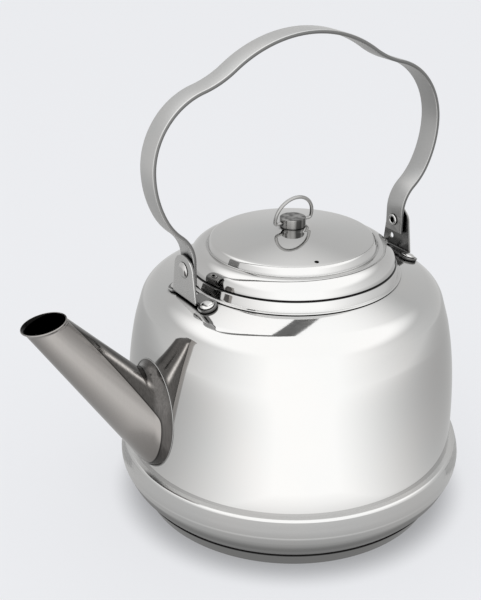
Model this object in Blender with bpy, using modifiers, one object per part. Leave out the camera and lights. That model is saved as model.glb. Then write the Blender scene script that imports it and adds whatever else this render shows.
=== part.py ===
"""A camping tea kettle of polished steel, with a loose lid and a swinging strap handle.

The kettle stands on z = 0 with its axis on +Z. The spout points to -X, and the
handle swings about an axis along X. All sizes are in metres.
"""
import math

import bmesh
import bpy
from mathutils import Matrix, Vector

# Fits and sheet thickness
GAP = 0.0003                # left between pieces that touch
SHEET = 0.0008              # wall of the pressed pieces
TURN_STEPS = 40             # facets round the large turned pieces
SMALL_STEPS = 14            # facets round rivets, washers and the knob
ARC_STEP = math.radians(36)  # widest turn between two points of a rounded corner

# Base pan: a flat bottom, a slanted ring, and the bead that takes the wall
BASE_R = 0.1032
BASE_EDGE = 0.0006          # rounding where the bottom turns up
RING_TOP_R = BASE_R + 0.0062
RING_TOP_Z = 0.0108
SEAM_DEPTH = 0.0011         # groove between the ring and the bead
SEAM_HEIGHT = 0.0018
FLARE_R = RING_TOP_R + 0.0059   # where the bead's underside gets steeper
FLARE_Z = RING_TOP_Z + 0.0081
FLARE_ROUND = 0.0080
BEAD_R = FLARE_R + 0.0063   # where the underside and the bead's side would meet
BEAD_Z = FLARE_Z + 0.0134
BEAD_ROUND = 0.0170
LEDGE_R = BEAD_R - 0.0036   # where the bead turns in to the wall
LEDGE_Z = BEAD_Z + 0.0124
LEDGE_ROUND = 0.0022
CREASE_Z = LEDGE_Z + 0.0026  # the wall rises out of the bead here

# Body shell: a wall that draws in slowly, a round shoulder and a straight slope
WALL_R = LEDGE_R - 0.0042
WALL_TURN_Z = CREASE_Z + 0.0040   # the wall is straight up to here
SHOULDER_R = WALL_R - 0.0138  # where the wall and the slope would meet
SHOULDER_Z = 0.1579
SHOULDER_ROUND = 0.0180
WALL_POWER = 2.75           # how late the wall starts to draw in
SHOULDER_SLOPE = math.radians(16.8)
LAP = 0.0050                # length of wall inside the bead

# Neck collar
NECK_R = SHOULDER_R - 0.0385  # bore of the neck
NECK_BOTTOM_Z = SHOULDER_Z + 0.0021
COLLAR_TOP_Z = SHOULDER_Z + 0.0159
COLLAR_FLANGE_R = NECK_R + 0.0113
COLLAR_FOOT_R = NECK_R + 0.0099
COLLAR_RIM_R = NECK_R + 0.0087
COLLAR_ROUND = 0.0014

# Lid
LID_R = COLLAR_RIM_R - 0.0009
LID_RIM = 0.0008            # upright stretch at the lid's lower edge
LID_SHOULDER_R = LID_R - 0.0017
LID_SHOULDER_Z = COLLAR_TOP_Z + 0.0125
LID_ROUND = 0.0098
GROOVE_R = LID_R - 0.0124
GROOVE_Z = COLLAR_TOP_Z + 0.0111
GROOVE_ROUND = 0.0006
CROWN_R = GROOVE_R - 0.0019  # edge of the raised crown
CROWN_Z = GROOVE_Z + 0.0053
CROWN_ROUND = 0.0026
CROWN_RISE = 0.0075         # dome of the crown, from its edge to the middle
VENT_HOLE_R = 0.0015
VENT_REACH = CROWN_R - 0.0060  # of the steam hole from the axis
VENT_AZIMUTH = math.radians(-106.4)
SKIRT_CLEARANCE = 0.0011    # between the skirt and the neck
SKIRT_DEPTH = 0.0215
SKIRT_FLANGE = 0.0018

# Knob, its rivet and its ring
KNOB_R = 0.0087
KNOB_HEIGHT = 0.0061
KNOB_ROUND = 0.0005
KNOB_SEAT_R = 0.0095        # flat middle of the crown, under the knob
KNOB_RIVET_R = 0.0025
KNOB_RIVET_DEPTH = 0.0032   # of the shank inside the knob
KNOB_RIVET_HEAD_R = 0.0046
KNOB_RIVET_HEAD = 0.0014
RING_WIRE_R = 0.00095
RING_R = 0.0145             # of the wire's centre line
RING_RISE = 0.0035          # of the circle's middle above the pivot
RING_FOOT_X = 0.0141
RING_BEND = 0.0017
RING_DEPTH = 0.0023         # of each end inside the knob
RING_LEAN = math.radians(12)

# Brackets and pivots
BRACKET_THICK = 0.0016
FOOT_SEAT = 0.00045         # between the shoulder and the foot or the rivet's tail
WASHER_THICK = 0.0005
WASHER_R = 0.0062
PLATE_HALF = 0.0114         # half width at the pivot
PLATE_TOP = 0.0098          # above the pivot
PLATE_FOOT_HALF = 0.0143    # half width at the fold
FOLD = 0.0034               # length of the fold, each way
RELIEF = 0.0006             # slit beside the fold, so that the lobes stay flat
FOOT_DEPTH = 0.0106
FOOT_RIVET_Y = 0.0188
FOOT_RIVET_IN = 0.0066      # from the plate's outer face
FOOT_CLEARANCE = 0.00055    # between the front foot's lobes and the collar
LOBE_R = 0.0062
NOTCH_R = 0.0032
NOTCH_DEPTH = 0.0062
PIVOT_Z = SHOULDER_Z + 0.0268
SPARE_HOLE_R = 0.0021       # hole in the rear plate
SPARE_HOLE_Y = 0.0055
SPARE_HOLE_Z = PIVOT_Z - 0.0144
PIVOT_SHANK_R = 0.0029
PIVOT_BORE_R = 0.0022
PIVOT_HEAD_R = 0.0053
PIVOT_HEAD = 0.0018
PIVOT_ROLL_R = 0.0039
PIVOT_ROLL = 0.0013
FOOT_SHANK_R = 0.0019
FOOT_HEAD_R = 0.0047
FOOT_HEAD = 0.0015
FOOT_TAIL_R = 0.0033
FOOT_TAIL = 0.0011

# Handle: a bent strap, drawn from the top of the arch down to the pivot
HANDLE_X = 0.0041           # the handle and its brackets sit this far behind the axis
STRAP_WIDTH = 0.0166
STRAP_THICK = 0.0026
STRAP_EDGE = 0.0005
STRAP_TAIL = 0.0084         # of the strap below the pivot
STRAP_RISE = 0.0065         # straight stretch above the pivot
# The front foot just clears the collar, and the strap's half span follows from that
FRONT_RIVET_X = math.sqrt((COLLAR_FLANGE_R + LOBE_R + FOOT_CLEARANCE) ** 2 - FOOT_RIVET_Y ** 2)
HALF_SPAN = (FRONT_RIVET_X + HANDLE_X + FOOT_RIVET_IN - BRACKET_THICK - WASHER_THICK
             - 2 * GAP - STRAP_THICK / 2)
# Angles are the strap's slope below horizontal at the end of each bend
ARCH_END = math.radians(35)
GRIP_FLARE_R = 0.0700
GRIP_FLARE_END = math.radians(15)
BOW_R = 0.0475
BOW_END = math.radians(90)
FLANK_R = 0.0660
FLANK_END = math.radians(118)
HEEL_IN_R = 0.0420
HEEL_IN_END = math.radians(140)
HEEL_OUT_R = 0.0245
BEND_STEP = math.radians(9)

# Spout: a straight cone, flared where it meets the body
MOUTH_X = -WALL_R - 0.0674
MOUTH_Z = SHOULDER_Z + 0.0134
MOUTH_R = 0.01175
MOUTH_TILT = math.radians(8.9)
MOUTH_LIP = 0.0012          # how far the lip turns out
MOUTH_LIP_LENGTH = 0.0028
SPOUT_DROP = math.radians(50.9)   # of the axis below horizontal
SPOUT_GROWTH = 0.1022       # of the radius for each unit of length
SPOUT_SHEET = 0.0009
SEAM_HALF_WIDTH = 0.0279
SEAM_TOP_Z = SHOULDER_Z - 0.0317
SEAM_BOTTOM_Z = CREASE_Z + 0.0038
FLARE_LENGTH = 0.0140
FLARE_HOLD = 0.0040         # how near the body the cone's own line is kept
SPOUT_STEPS = 32
SPOUT_HOLE_LEDGE = 0.0030   # of body wall left inside the spout's foot
CUT_PAST = 0.0060           # how far cutters and lofts run past what they cut

POLISHED = (0.62, 0.61, 0.60)
BRUSHED = (0.52, 0.51, 0.50)
DARK = (0.40, 0.39, 0.38)


def rounded(corners):
    """Points along a line of (r, z, radius) corners, each corner rounded by its radius."""
    points = []
    for i, (r, z, radius) in enumerate(corners):
        here = Vector((r, z))
        if radius == 0 or i in (0, len(corners) - 1):
            points.append(here)
            continue
        before = Vector(corners[i - 1][:2]) - here
        after = Vector(corners[i + 1][:2]) - here
        half = before.angle(after) / 2
        reach = min(radius / math.tan(half), 0.9 * before.length, 0.9 * after.length)
        centre = here + (before.normalized() + after.normalized()).normalized() * reach / math.cos(half)
        turn = math.pi - 2 * half
        if before.cross(after) > 0:
            turn = -turn
        arm = here + before.normalized() * reach - centre
        steps = max(2, math.ceil(abs(turn) / ARC_STEP))
        for k in range(steps + 1):
            points.append(centre + Matrix.Rotation(turn * k / steps, 2) @ arm)
    return points


def offset_line(points, distance):
    """The line shifted to the left of its direction, at the same distance round its bends."""
    shifted = []
    for i, here in enumerate(points):
        sides = []
        if i > 0:
            sides.append((here - points[i - 1]).normalized())
        if i < len(points) - 1:
            sides.append((points[i + 1] - here).normalized())
        normals = [Vector((-side.y, side.x)) for side in sides]
        mean = sum(normals, Vector((0, 0))).normalized()
        shifted.append(here + mean * distance / mean.dot(normals[0]))
    return shifted


def sheet(line, wall):
    """The closed section of a sheet whose visible side is the line."""
    inner = offset_line(line, wall)
    for k in (0, -1):
        if line[k].x < GAP / 10:
            inner[k].x = 0
    return list(line) + list(reversed(inner))


def steel(name, colour, roughness):
    """A plain steel material."""
    material = bpy.data.materials.new(name)
    material.use_nodes = True
    shader = material.node_tree.nodes["Principled BSDF"]
    shader.inputs["Base Color"].default_value = (*colour, 1)
    shader.inputs["Metallic"].default_value = 1
    shader.inputs["Roughness"].default_value = roughness
    return material


def add(name, mesh, collection, colour=POLISHED, roughness=0.12):
    """Put a mesh in the scene under a name, with its own material."""
    thing = bpy.data.objects.new(name, mesh)
    collection.objects.link(thing)
    if collection is parts:
        mesh.materials.append(steel(name, colour, roughness))
    else:
        thing.hide_render = True
        thing.display_type = 'WIRE'
    return thing


def turned(name, loop, collection, steps=TURN_STEPS, colour=POLISHED, roughness=0.12):
    """A piece turned about its own Z from a section of (r, z) points."""
    points = [Vector(point) for point in loop]
    pairs = zip(points, points[1:] + points[:1])
    if sum(a.cross(b) for a, b in pairs) > 0:
        points.reverse()
    on_axis = points[0].x < GAP / 10 and points[-1].x < GAP / 10
    count = len(points)
    edges = [(i, (i + 1) % count) for i in range(count - on_axis)]
    mesh = bpy.data.meshes.new(name)
    mesh.from_pydata([(point.x, 0, point.y) for point in points], edges, [])
    thing = add(name, mesh, collection, colour, roughness)
    screw = thing.modifiers.new("turn", 'SCREW')
    screw.angle = 2 * math.pi
    screw.steps = steps
    screw.render_steps = steps
    screw.use_merge_vertices = True
    screw.merge_threshold = 0.00001
    return thing


def rod(name, radius, start, end):
    """A round cutter from one point to another."""
    start, end = Vector(start), Vector(end)
    bm = bmesh.new()
    bmesh.ops.create_cone(bm, cap_ends=True, segments=SMALL_STEPS, radius1=radius, radius2=radius,
                          depth=(end - start).length)
    mesh = bpy.data.meshes.new(name)
    bm.to_mesh(mesh)
    bm.free()
    thing = add(name, mesh, cutters)
    thing.location = (start + end) / 2
    thing.rotation_euler = (end - start).to_track_quat('Z', 'Y').to_euler()
    return thing


def cut(thing, *tools):
    """Take each tool's shape out of the piece."""
    for tool in tools:
        boolean = thing.modifiers.new(tool.name, 'BOOLEAN')
        boolean.operation = 'DIFFERENCE'
        boolean.solver = 'EXACT'
        boolean.object = tool


def axis_empty(name, location):
    """An empty on a joint's axis, for the pieces that move with it."""
    empty = bpy.data.objects.new(name, None)
    empty.location = location
    empty.empty_display_size = 0.01
    parts.objects.link(empty)
    return empty


def hang(thing, empty):
    """Parent a piece to the empty and leave it where it is."""
    thing.parent = empty
    thing.location -= empty.location


# The kettle's outside, from the middle of the bottom up to the neck

def pan_line():
    """The base pan's outer side."""
    slope = math.atan2(CREASE_Z - LEDGE_Z, LEDGE_R - WALL_R - GAP - SHEET)
    lip_r = WALL_R + GAP + SHEET * math.sin(slope)
    return rounded([
        (0, 0, 0),
        (BASE_R, 0, BASE_EDGE),
        (RING_TOP_R, RING_TOP_Z, 0),
        (RING_TOP_R - SEAM_DEPTH, RING_TOP_Z + SEAM_HEIGHT / 2, 0),
        (RING_TOP_R, RING_TOP_Z + SEAM_HEIGHT, 0),
        (FLARE_R, FLARE_Z, FLARE_ROUND),
        (BEAD_R, BEAD_Z, BEAD_ROUND),
        (LEDGE_R, LEDGE_Z, LEDGE_ROUND),
        (lip_r, CREASE_Z, 0),
    ])


def wall_r(z):
    """The wall's outer radius below the shoulder, a power of the height."""
    share = max(0, z - WALL_TURN_Z) / (SHOULDER_Z - WALL_TURN_Z)
    return WALL_R - (WALL_R - SHOULDER_R) * share ** WALL_POWER


def shell_line():
    """The body shell's outer side, from inside the bead to the neck."""
    wall = [(WALL_R, CREASE_Z - LAP, 0)]
    for k in range(6):
        z = WALL_TURN_Z + (SHOULDER_Z - WALL_TURN_Z) * 0.15 * k
        wall.append((wall_r(z), z, 0))
    mouth_r = NECK_R + 2 * SHEET + GAP
    mouth_z = SHOULDER_Z + (SHOULDER_R - mouth_r) * math.tan(SHOULDER_SLOPE)
    return rounded(wall + [(SHOULDER_R, SHOULDER_Z, SHOULDER_ROUND), (mouth_r, mouth_z, 0)])


def crossing(line, value, axis):
    """The point of the line where r (axis 0) or z (axis 1) takes a value, and the line's direction."""
    for a, b in zip(line, line[1:]):
        low, high = sorted((a[axis], b[axis]))
        if low <= value <= high and high > low:
            share = (value - a[axis]) / (b[axis] - a[axis])
            return a.lerp(b, share), (b - a).normalized()
    raise ValueError("the line does not reach this value")


def on_shoulder(x, y, height):
    """The point a height above the shoulder over (x, y), and the shoulder's normal there."""
    top = [point for point in shell_line() if point.y > SHOULDER_Z - SHOULDER_ROUND]
    point, direction = crossing(top, math.hypot(x, y), 0)
    out = Vector((x, y, 0)).normalized()
    normal = out * direction.y - Vector((0, 0, 1)) * direction.x
    return Vector((x, y, point.y)) + normal * height, normal


def body_r(z):
    """The kettle's outer radius at a height on the bead or the wall."""
    line = [point for point in pan_line() if point.y > BEAD_Z] + shell_line()[1:]
    return crossing(line, z, 1)[0].x


def make_pan():
    """Bottom, base ring and bead, pressed in one."""
    turned("base_pan", sheet(pan_line(), SHEET), parts, colour=DARK, roughness=0.2)


def make_shell(holes):
    """Wall and shoulder, open at the neck and behind the spout."""
    shell = turned("body_shell", sheet(shell_line(), SHEET), parts, roughness=0.05)
    bm = bmesh.new()
    bmesh.ops.create_cone(bm, cap_ends=True, segments=SPOUT_STEPS, radius1=1, radius2=1,
                          depth=WALL_R / 2)
    half_height = (SEAM_TOP_Z - SEAM_BOTTOM_Z) / 2 - SPOUT_HOLE_LEDGE
    bmesh.ops.scale(bm, vec=(half_height, SEAM_HALF_WIDTH - SPOUT_HOLE_LEDGE, 1), verts=bm.verts)
    mesh = bpy.data.meshes.new("spout_opening")
    bm.to_mesh(mesh)
    bm.free()
    opening = add("spout_opening", mesh, cutters)
    opening.location = (-WALL_R, 0, (SEAM_TOP_Z + SEAM_BOTTOM_Z) / 2)
    opening.rotation_euler = (0, math.pi / 2, 0)
    cut(shell, opening, *holes)


def make_collar():
    """The ring round the neck: a flange on the shoulder, a band, and the bore."""
    flange = on_shoulder(COLLAR_FLANGE_R, 0, GAP + SHEET)[0]
    foot = on_shoulder(COLLAR_FOOT_R, 0, GAP + SHEET)[0]
    line = rounded([
        (flange.x, flange.z, 0),
        (foot.x, foot.z, COLLAR_ROUND / 2),
        (COLLAR_RIM_R, COLLAR_TOP_Z, COLLAR_ROUND),
        (NECK_R, COLLAR_TOP_Z, COLLAR_ROUND),
        (NECK_R, NECK_BOTTOM_Z, 0),
    ])
    turned("neck_collar", sheet(line, SHEET), parts, roughness=0.08)


# The spout

def spout_ray(angle):
    """The start and direction of the cone's line at an angle round the spout, 0 on its upper side."""
    axis = Vector((math.cos(SPOUT_DROP), 0, -math.sin(SPOUT_DROP)))
    up = Vector((math.sin(SPOUT_DROP), 0, math.cos(SPOUT_DROP)))
    out = up * math.cos(angle) + Vector((0, 1, 0)) * math.sin(angle)
    return Vector((MOUTH_X, 0, MOUTH_Z)) + out * MOUTH_R, axis + out * SPOUT_GROWTH, out


def meets_body(start, ray):
    """How far along its line the cone reaches the body."""
    near, far = 0, 2 * WALL_R
    while far - near > GAP / 100:
        middle = (near + far) / 2
        point = start + ray * middle
        inside = point.z < LEDGE_Z or point.z < SHOULDER_Z and math.hypot(point.x, point.y) < body_r(point.z)
        if inside:
            far = middle
        else:
            near = middle
    return near


def spout_run(angle):
    """The outer points of the spout along one of its lines, from the lip into the body."""
    start, ray, out = spout_ray(angle)
    slope = Vector((-math.sin(MOUTH_TILT), 0, math.cos(MOUTH_TILT)))
    mouth = start + ray * (slope.dot(Vector((MOUTH_X, 0, MOUTH_Z)) - start) / slope.dot(ray))
    reach = meets_body(start, ray)
    seam_z = (SEAM_TOP_Z + SEAM_BOTTOM_Z) / 2 + (SEAM_TOP_Z - SEAM_BOTTOM_Z) / 2 * math.cos(angle)
    seam_y = SEAM_HALF_WIDTH * math.sin(angle)
    seam = Vector((-math.sqrt(body_r(seam_z) ** 2 - seam_y ** 2), seam_y, seam_z))
    flare = start + ray * (reach - FLARE_LENGTH)
    hold = start + ray * (reach - FLARE_HOLD)
    run = [mouth + out * MOUTH_LIP, mouth + ray * MOUTH_LIP_LENGTH]
    run.append(mouth.lerp(flare, 0.5))
    for k in range(5):
        t = k / 4
        run.append(flare * (1 - t) ** 2 + hold * 2 * t * (1 - t) + seam * t ** 2)
    run.append(seam + (seam - hold).normalized() * CUT_PAST)
    return run


def make_spout(envelope):
    """A tapering tube whose flared foot is cut to the body."""
    runs = [spout_run(2 * math.pi * k / SPOUT_STEPS) for k in range(SPOUT_STEPS)]
    bm = bmesh.new()
    grid = [[bm.verts.new(point) for point in run] for run in runs]
    for here, beside in zip(grid, grid[1:] + grid[:1]):
        for i in range(len(here) - 1):
            bm.faces.new((here[i], here[i + 1], beside[i + 1], beside[i]))
    mesh = bpy.data.meshes.new("spout_tube")
    bm.to_mesh(mesh)
    bm.free()
    spout = add("spout_tube", mesh, parts, roughness=0.1)
    wall = spout.modifiers.new("wall", 'SOLIDIFY')
    wall.thickness = SPOUT_SHEET
    wall.offset = -1
    wall.use_even_offset = True
    cut(spout, envelope)


# The lid

def crown_z(r):
    """Height of the crown's dome at a radius."""
    return CROWN_Z + CROWN_RISE * (1 - (r / CROWN_R) ** 2)


def make_lid(empty):
    """The lid's shell, with its rounded rim, groove and domed crown."""
    dome = [(CROWN_R * share, crown_z(CROWN_R * share), 0) for share in (0.93, 0.65, 0.38)]
    seat = [(KNOB_SEAT_R, crown_z(0), 0), (KNOB_RIVET_R + GAP, crown_z(0), 0)]
    line = rounded(
        [(LID_R, COLLAR_TOP_Z + GAP, 0), (LID_R, COLLAR_TOP_Z + GAP + LID_RIM, 0),
         (LID_SHOULDER_R, LID_SHOULDER_Z, LID_ROUND),
         (GROOVE_R, GROOVE_Z, GROOVE_ROUND), (CROWN_R, CROWN_Z, CROWN_ROUND)]
        + dome + seat)
    lid = turned("lid_shell", sheet(line, SHEET), parts, roughness=0.04)
    vent = Vector((VENT_REACH * math.cos(VENT_AZIMUTH), VENT_REACH * math.sin(VENT_AZIMUTH), CROWN_Z))
    rise = Vector((0, 0, CUT_PAST))
    cut(lid, rod("vent_hole", VENT_HOLE_R, vent - rise, vent + rise))
    hang(lid, empty)


def make_skirt(empty):
    """The straight ring under the lid that drops into the neck."""
    skirt_r = NECK_R - SKIRT_CLEARANCE - SHEET
    top_z = GROOVE_Z - 2 * SHEET - 2 * GAP
    line = [Vector((skirt_r - SKIRT_FLANGE, top_z)), Vector((skirt_r, top_z)),
            Vector((skirt_r, top_z - SKIRT_DEPTH))]
    skirt = turned("lid_skirt", sheet(line, SHEET), parts, roughness=0.2)
    hang(skirt, empty)


def make_knob(empty, pivot_z):
    """The knob, with a socket below for its rivet and one on each side for the ring."""
    bottom = crown_z(0) + GAP
    socket_r = KNOB_RIVET_R + GAP
    socket_top = bottom + KNOB_RIVET_DEPTH
    loop = rounded([
        (0, bottom + KNOB_HEIGHT, 0),
        (KNOB_R, bottom + KNOB_HEIGHT, KNOB_ROUND),
        (KNOB_R, bottom, KNOB_ROUND),
        (socket_r, bottom, 0),
        (socket_r, socket_top, 0),
        (0, socket_top, 0),
    ])
    knob = turned("lid_knob", loop, parts, steps=SMALL_STEPS, roughness=0.1)
    for side in (-1, 1):
        inner = side * (KNOB_R - RING_DEPTH - GAP)
        outer = side * (KNOB_R + CUT_PAST)
        cut(knob, rod("ring_socket", RING_WIRE_R + GAP, (inner, 0, pivot_z), (outer, 0, pivot_z)))
    hang(knob, empty)


def make_knob_rivet(empty):
    """The rivet that holds the knob, with its head under the lid."""
    under = crown_z(0) - SHEET - GAP
    tip = crown_z(0) + KNOB_RIVET_DEPTH
    loop = rounded([
        (0, tip, 0),
        (KNOB_RIVET_R, tip, 0),
        (KNOB_RIVET_R, under, 0),
        (KNOB_RIVET_HEAD_R, under, 0),
        (KNOB_RIVET_HEAD_R, under - KNOB_RIVET_HEAD, KNOB_RIVET_HEAD * 0.7),
        (0, under - KNOB_RIVET_HEAD, 0),
    ])
    rivet = turned("knob_rivet", loop, parts, steps=SMALL_STEPS, colour=DARK, roughness=0.3)
    hang(rivet, empty)


def make_ring(empty):
    """The wire ring on the knob, with its two ends turned in."""
    lift = math.asin(RING_RISE / RING_R)
    bow = []
    for k in range(15):
        angle = -lift / 3 + (math.pi + 2 * lift / 3) * k / 14
        bow.append((RING_R * math.cos(angle), RING_RISE + RING_R * math.sin(angle), 0))
    end = KNOB_R - RING_DEPTH
    line = rounded([(end, 0, 0), (RING_FOOT_X, 0, RING_BEND)] + bow
                   + [(-RING_FOOT_X, 0, RING_BEND), (-end, 0, 0)])
    curve = bpy.data.curves.new("knob_ring", 'CURVE')
    curve.dimensions = '3D'
    curve.bevel_depth = RING_WIRE_R
    curve.bevel_resolution = 2
    curve.use_fill_caps = True
    spline = curve.splines.new('POLY')
    spline.points.add(len(line) - 1)
    for point, place in zip(spline.points, line):
        point.co = (place.x, 0, place.y, 1)
    wire = bpy.data.objects.new("wire", curve)
    parts.objects.link(wire)
    bpy.context.view_layer.update()
    mesh = bpy.data.meshes.new_from_object(wire.evaluated_get(bpy.context.evaluated_depsgraph_get()))
    bpy.data.objects.remove(wire)
    bm = bmesh.new()
    bm.from_mesh(mesh)
    bmesh.ops.remove_doubles(bm, verts=bm.verts, dist=RING_WIRE_R / 100)
    bm.to_mesh(mesh)
    bm.free()
    mesh.name = "knob_ring"
    ring = add("knob_ring", mesh, parts, roughness=0.1)
    ring.rotation_euler = (RING_LEAN, 0, 0)
    ring.parent = empty


# The handle

def bend(start, heading, radius, end_heading):
    """Points along an arc of the strap; headings are angles below horizontal."""
    turn = end_heading - heading
    steps = max(1, math.ceil(abs(turn) / BEND_STEP))
    step = turn / steps
    chord = 2 * radius * math.sin(abs(step) / 2)
    points = []
    for k in range(steps):
        angle = heading + step * (k + 0.5)
        start = start + Vector((math.cos(angle), -math.sin(angle))) * chord
        points.append(start)
    return points


def strap_half():
    """The rear half of the strap's centre line, from the top of the arch to its end."""
    lower = [(GRIP_FLARE_R, ARCH_END, GRIP_FLARE_END), (BOW_R, GRIP_FLARE_END, BOW_END),
             (FLANK_R, BOW_END, FLANK_END), (HEEL_IN_R, FLANK_END, HEEL_IN_END),
             (HEEL_OUT_R, HEEL_IN_END, math.pi / 2)]
    points = [Vector((0, 0))]
    for radius, begin, end in lower:
        points += bend(points[-1], begin, radius, end)
    # The arch's radius is what closes the strap on its two pivots
    arch_r = (HALF_SPAN - points[-1].x) / math.sin(ARCH_END)
    arch = [Vector((0, 0))] + bend(Vector((0, 0)), 0, arch_r, ARCH_END)
    line = arch + [arch[-1] + point for point in points[1:]]
    drop = Vector((0, PIVOT_Z + STRAP_RISE - line[-1].y))
    line = [point + drop for point in line]
    return line + [Vector((line[-1].x, PIVOT_Z)), Vector((line[-1].x, PIVOT_Z - STRAP_TAIL))]


def make_handle(empty, bore):
    """A flat steel strap bent to the handle's outline."""
    rear = strap_half()
    front = [Vector((-point.x, point.y)) for point in reversed(rear[1:])]
    line = front + rear
    upper = offset_line(line, STRAP_THICK / 2)
    lower = offset_line(line, -STRAP_THICK / 2)
    bm = bmesh.new()
    rows = [[bm.verts.new((HANDLE_X + point.x, -STRAP_WIDTH / 2, point.y)) for point in side]
            for side in (upper, lower)]
    for i in range(len(line) - 1):
        bm.faces.new((rows[0][i], rows[1][i], rows[1][i + 1], rows[0][i + 1]))
    flat = bmesh.ops.extrude_face_region(bm, geom=bm.faces[:])
    moved = [item for item in flat["geom"] if isinstance(item, bmesh.types.BMVert)]
    bmesh.ops.translate(bm, verts=moved, vec=(0, STRAP_WIDTH, 0))
    bmesh.ops.recalc_face_normals(bm, faces=bm.faces)
    mesh = bpy.data.meshes.new("handle_strap")
    bm.to_mesh(mesh)
    bm.free()
    strap = add("handle_strap", mesh, parts, colour=BRUSHED, roughness=0.3)
    edges = strap.modifiers.new("edges", 'BEVEL')
    edges.width = STRAP_EDGE
    edges.segments = 1
    edges.limit_method = 'ANGLE'
    edges.angle_limit = math.radians(60)
    cut(strap, bore)
    hang(strap, empty)


# Brackets, washers and rivets

def stack():
    """Distances from the handle's middle: washer, plate's inner face and plate's outer face."""
    washer = HALF_SPAN + STRAP_THICK / 2 + GAP
    plate = washer + WASHER_THICK + GAP
    return washer, plate, plate + BRACKET_THICK


def half_outline(fold_z):
    """Half of the bracket's flat blank, from the top of the plate to the middle of the notch.

    The first number runs across the plate and the second one up it, from the fold."""
    pivot = PIVOT_Z - fold_z
    points = []
    for k in range(6):
        angle = math.pi / 2 * (1 - k / 5)
        points.append(Vector((PLATE_HALF * math.cos(angle), pivot + PLATE_TOP * math.sin(angle))))
    points.append(Vector((PLATE_FOOT_HALF, FOLD)))
    points.append(Vector((PLATE_FOOT_HALF, -FOLD)))
    points.append(Vector((PLATE_FOOT_HALF + RELIEF, -FOLD)))
    start = math.acos((PLATE_FOOT_HALF + RELIEF - FOOT_RIVET_Y) / LOBE_R)
    end = -math.radians(130)
    for k in range(8):
        angle = start + (end - start) * k / 7
        points.append(Vector((FOOT_RIVET_Y + LOBE_R * math.cos(angle), -FOOT_RIVET_IN + LOBE_R * math.sin(angle))))
    points.append(Vector((NOTCH_R * 1.2, -FOOT_DEPTH)))
    for k in range(4):
        angle = math.pi / 2 * k / 3
        points.append(Vector((NOTCH_R * math.cos(angle), -NOTCH_DEPTH - NOTCH_R * 0.3 + NOTCH_R * math.sin(angle))))
    return points


def folded(corner, foot, share):
    """A point on the fold, from the upright plate (share 0) to the foot (share 1)."""
    up = Vector((0, 0, 1))
    along = (foot - corner).normalized()
    half = up.angle(along) / 2
    centre = corner + (up + along).normalized() * FOLD / math.cos(half)
    first = corner + up * FOLD - centre
    last = corner + along * FOLD - centre
    turn = Matrix.Rotation((math.pi - 2 * half) * share, 3, first.cross(last))
    return centre + turn @ first


def bracket_mesh(name, side):
    """The blank, folded so that its foot follows the shoulder."""
    outer = stack()[2]
    plate_x = HANDLE_X + side * outer
    fold_z = on_shoulder(plate_x, 0, FOOT_SEAT)[0].z
    half = half_outline(fold_z)
    outline = half + [Vector((-point.x, point.y)) for point in reversed(half[1:-1])]
    bm = bmesh.new()
    bm.faces.new([bm.verts.new((point.x, point.y, 0)) for point in outline])
    widest = FOOT_RIVET_Y + LOBE_R
    lines = [((0, FOLD * k / 2, 0), (0, 1, 0)) for k in range(-2, 3)] + [((0, -FOOT_RIVET_IN, 0), (0, 1, 0))]
    lines += [((widest * k / 4, 0, 0), (1, 0, 0)) for k in range(-3, 4)]
    for point, normal in lines:
        bmesh.ops.bisect_plane(bm, geom=bm.verts[:] + bm.edges[:] + bm.faces[:],
                               plane_co=point, plane_no=normal, dist=GAP / 100)
    bmesh.ops.triangulate(bm, faces=bm.faces)
    for vert in bm.verts:
        y, up = vert.co.x, vert.co.y
        if up >= FOLD:
            vert.co = (plate_x, y, fold_z + up)
        elif up <= -FOLD or abs(y) > PLATE_FOOT_HALF + RELIEF / 2:
            vert.co = on_shoulder(plate_x + side * up, y, FOOT_SEAT)[0]
        else:
            vert.co = folded(Vector((plate_x, y, fold_z)), on_shoulder(plate_x - side * FOLD, y, FOOT_SEAT)[0],
                             (FOLD - up) / (2 * FOLD))
    bm.normal_update()
    top = max(bm.faces, key=lambda face: face.calc_center_median().z)
    if top.normal.x * side < 0:
        bmesh.ops.reverse_faces(bm, faces=bm.faces)
    mesh = bpy.data.meshes.new(name)
    bm.to_mesh(mesh)
    bm.free()
    return mesh


def make_bracket(name, side, tools):
    """A pressed bracket: an upright plate on a riveted foot."""
    bracket = add(name, bracket_mesh(name, side), parts, colour=BRUSHED, roughness=0.25)
    wall = bracket.modifiers.new("wall", 'SOLIDIFY')
    wall.thickness = BRACKET_THICK
    wall.offset = -1
    wall.use_even_offset = True
    cut(bracket, *tools)


def rivet_places(side):
    """Where a bracket's two foot rivets stand, and the shoulder's normal there."""
    x = HANDLE_X + side * (stack()[2] - FOOT_RIVET_IN)
    return [(hand, *on_shoulder(x, y, 0)) for hand, y in (("left", -FOOT_RIVET_Y), ("right", FOOT_RIVET_Y))]


def make_foot_rivet(name, place, normal):
    """A domed rivet through a bracket's foot and the shoulder."""
    seat = FOOT_SEAT + BRACKET_THICK + GAP
    tail = -SHEET - FOOT_SEAT
    loop = rounded([
        (0, seat + FOOT_HEAD, 0),
        (FOOT_HEAD_R * 0.85, seat + FOOT_HEAD * 0.85, FOOT_HEAD_R / 3),
        (FOOT_HEAD_R, seat, 0),
        (FOOT_SHANK_R, seat, 0),
        (FOOT_SHANK_R, tail, 0),
        (FOOT_TAIL_R, tail, 0),
        (FOOT_TAIL_R * 0.85, tail - FOOT_TAIL, 0),
        (0, tail - FOOT_TAIL, 0),
    ])
    rivet = turned(name, loop, parts, steps=SMALL_STEPS)
    rivet.location = place
    rivet.rotation_euler = normal.to_track_quat('Z', 'Y').to_euler()


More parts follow.
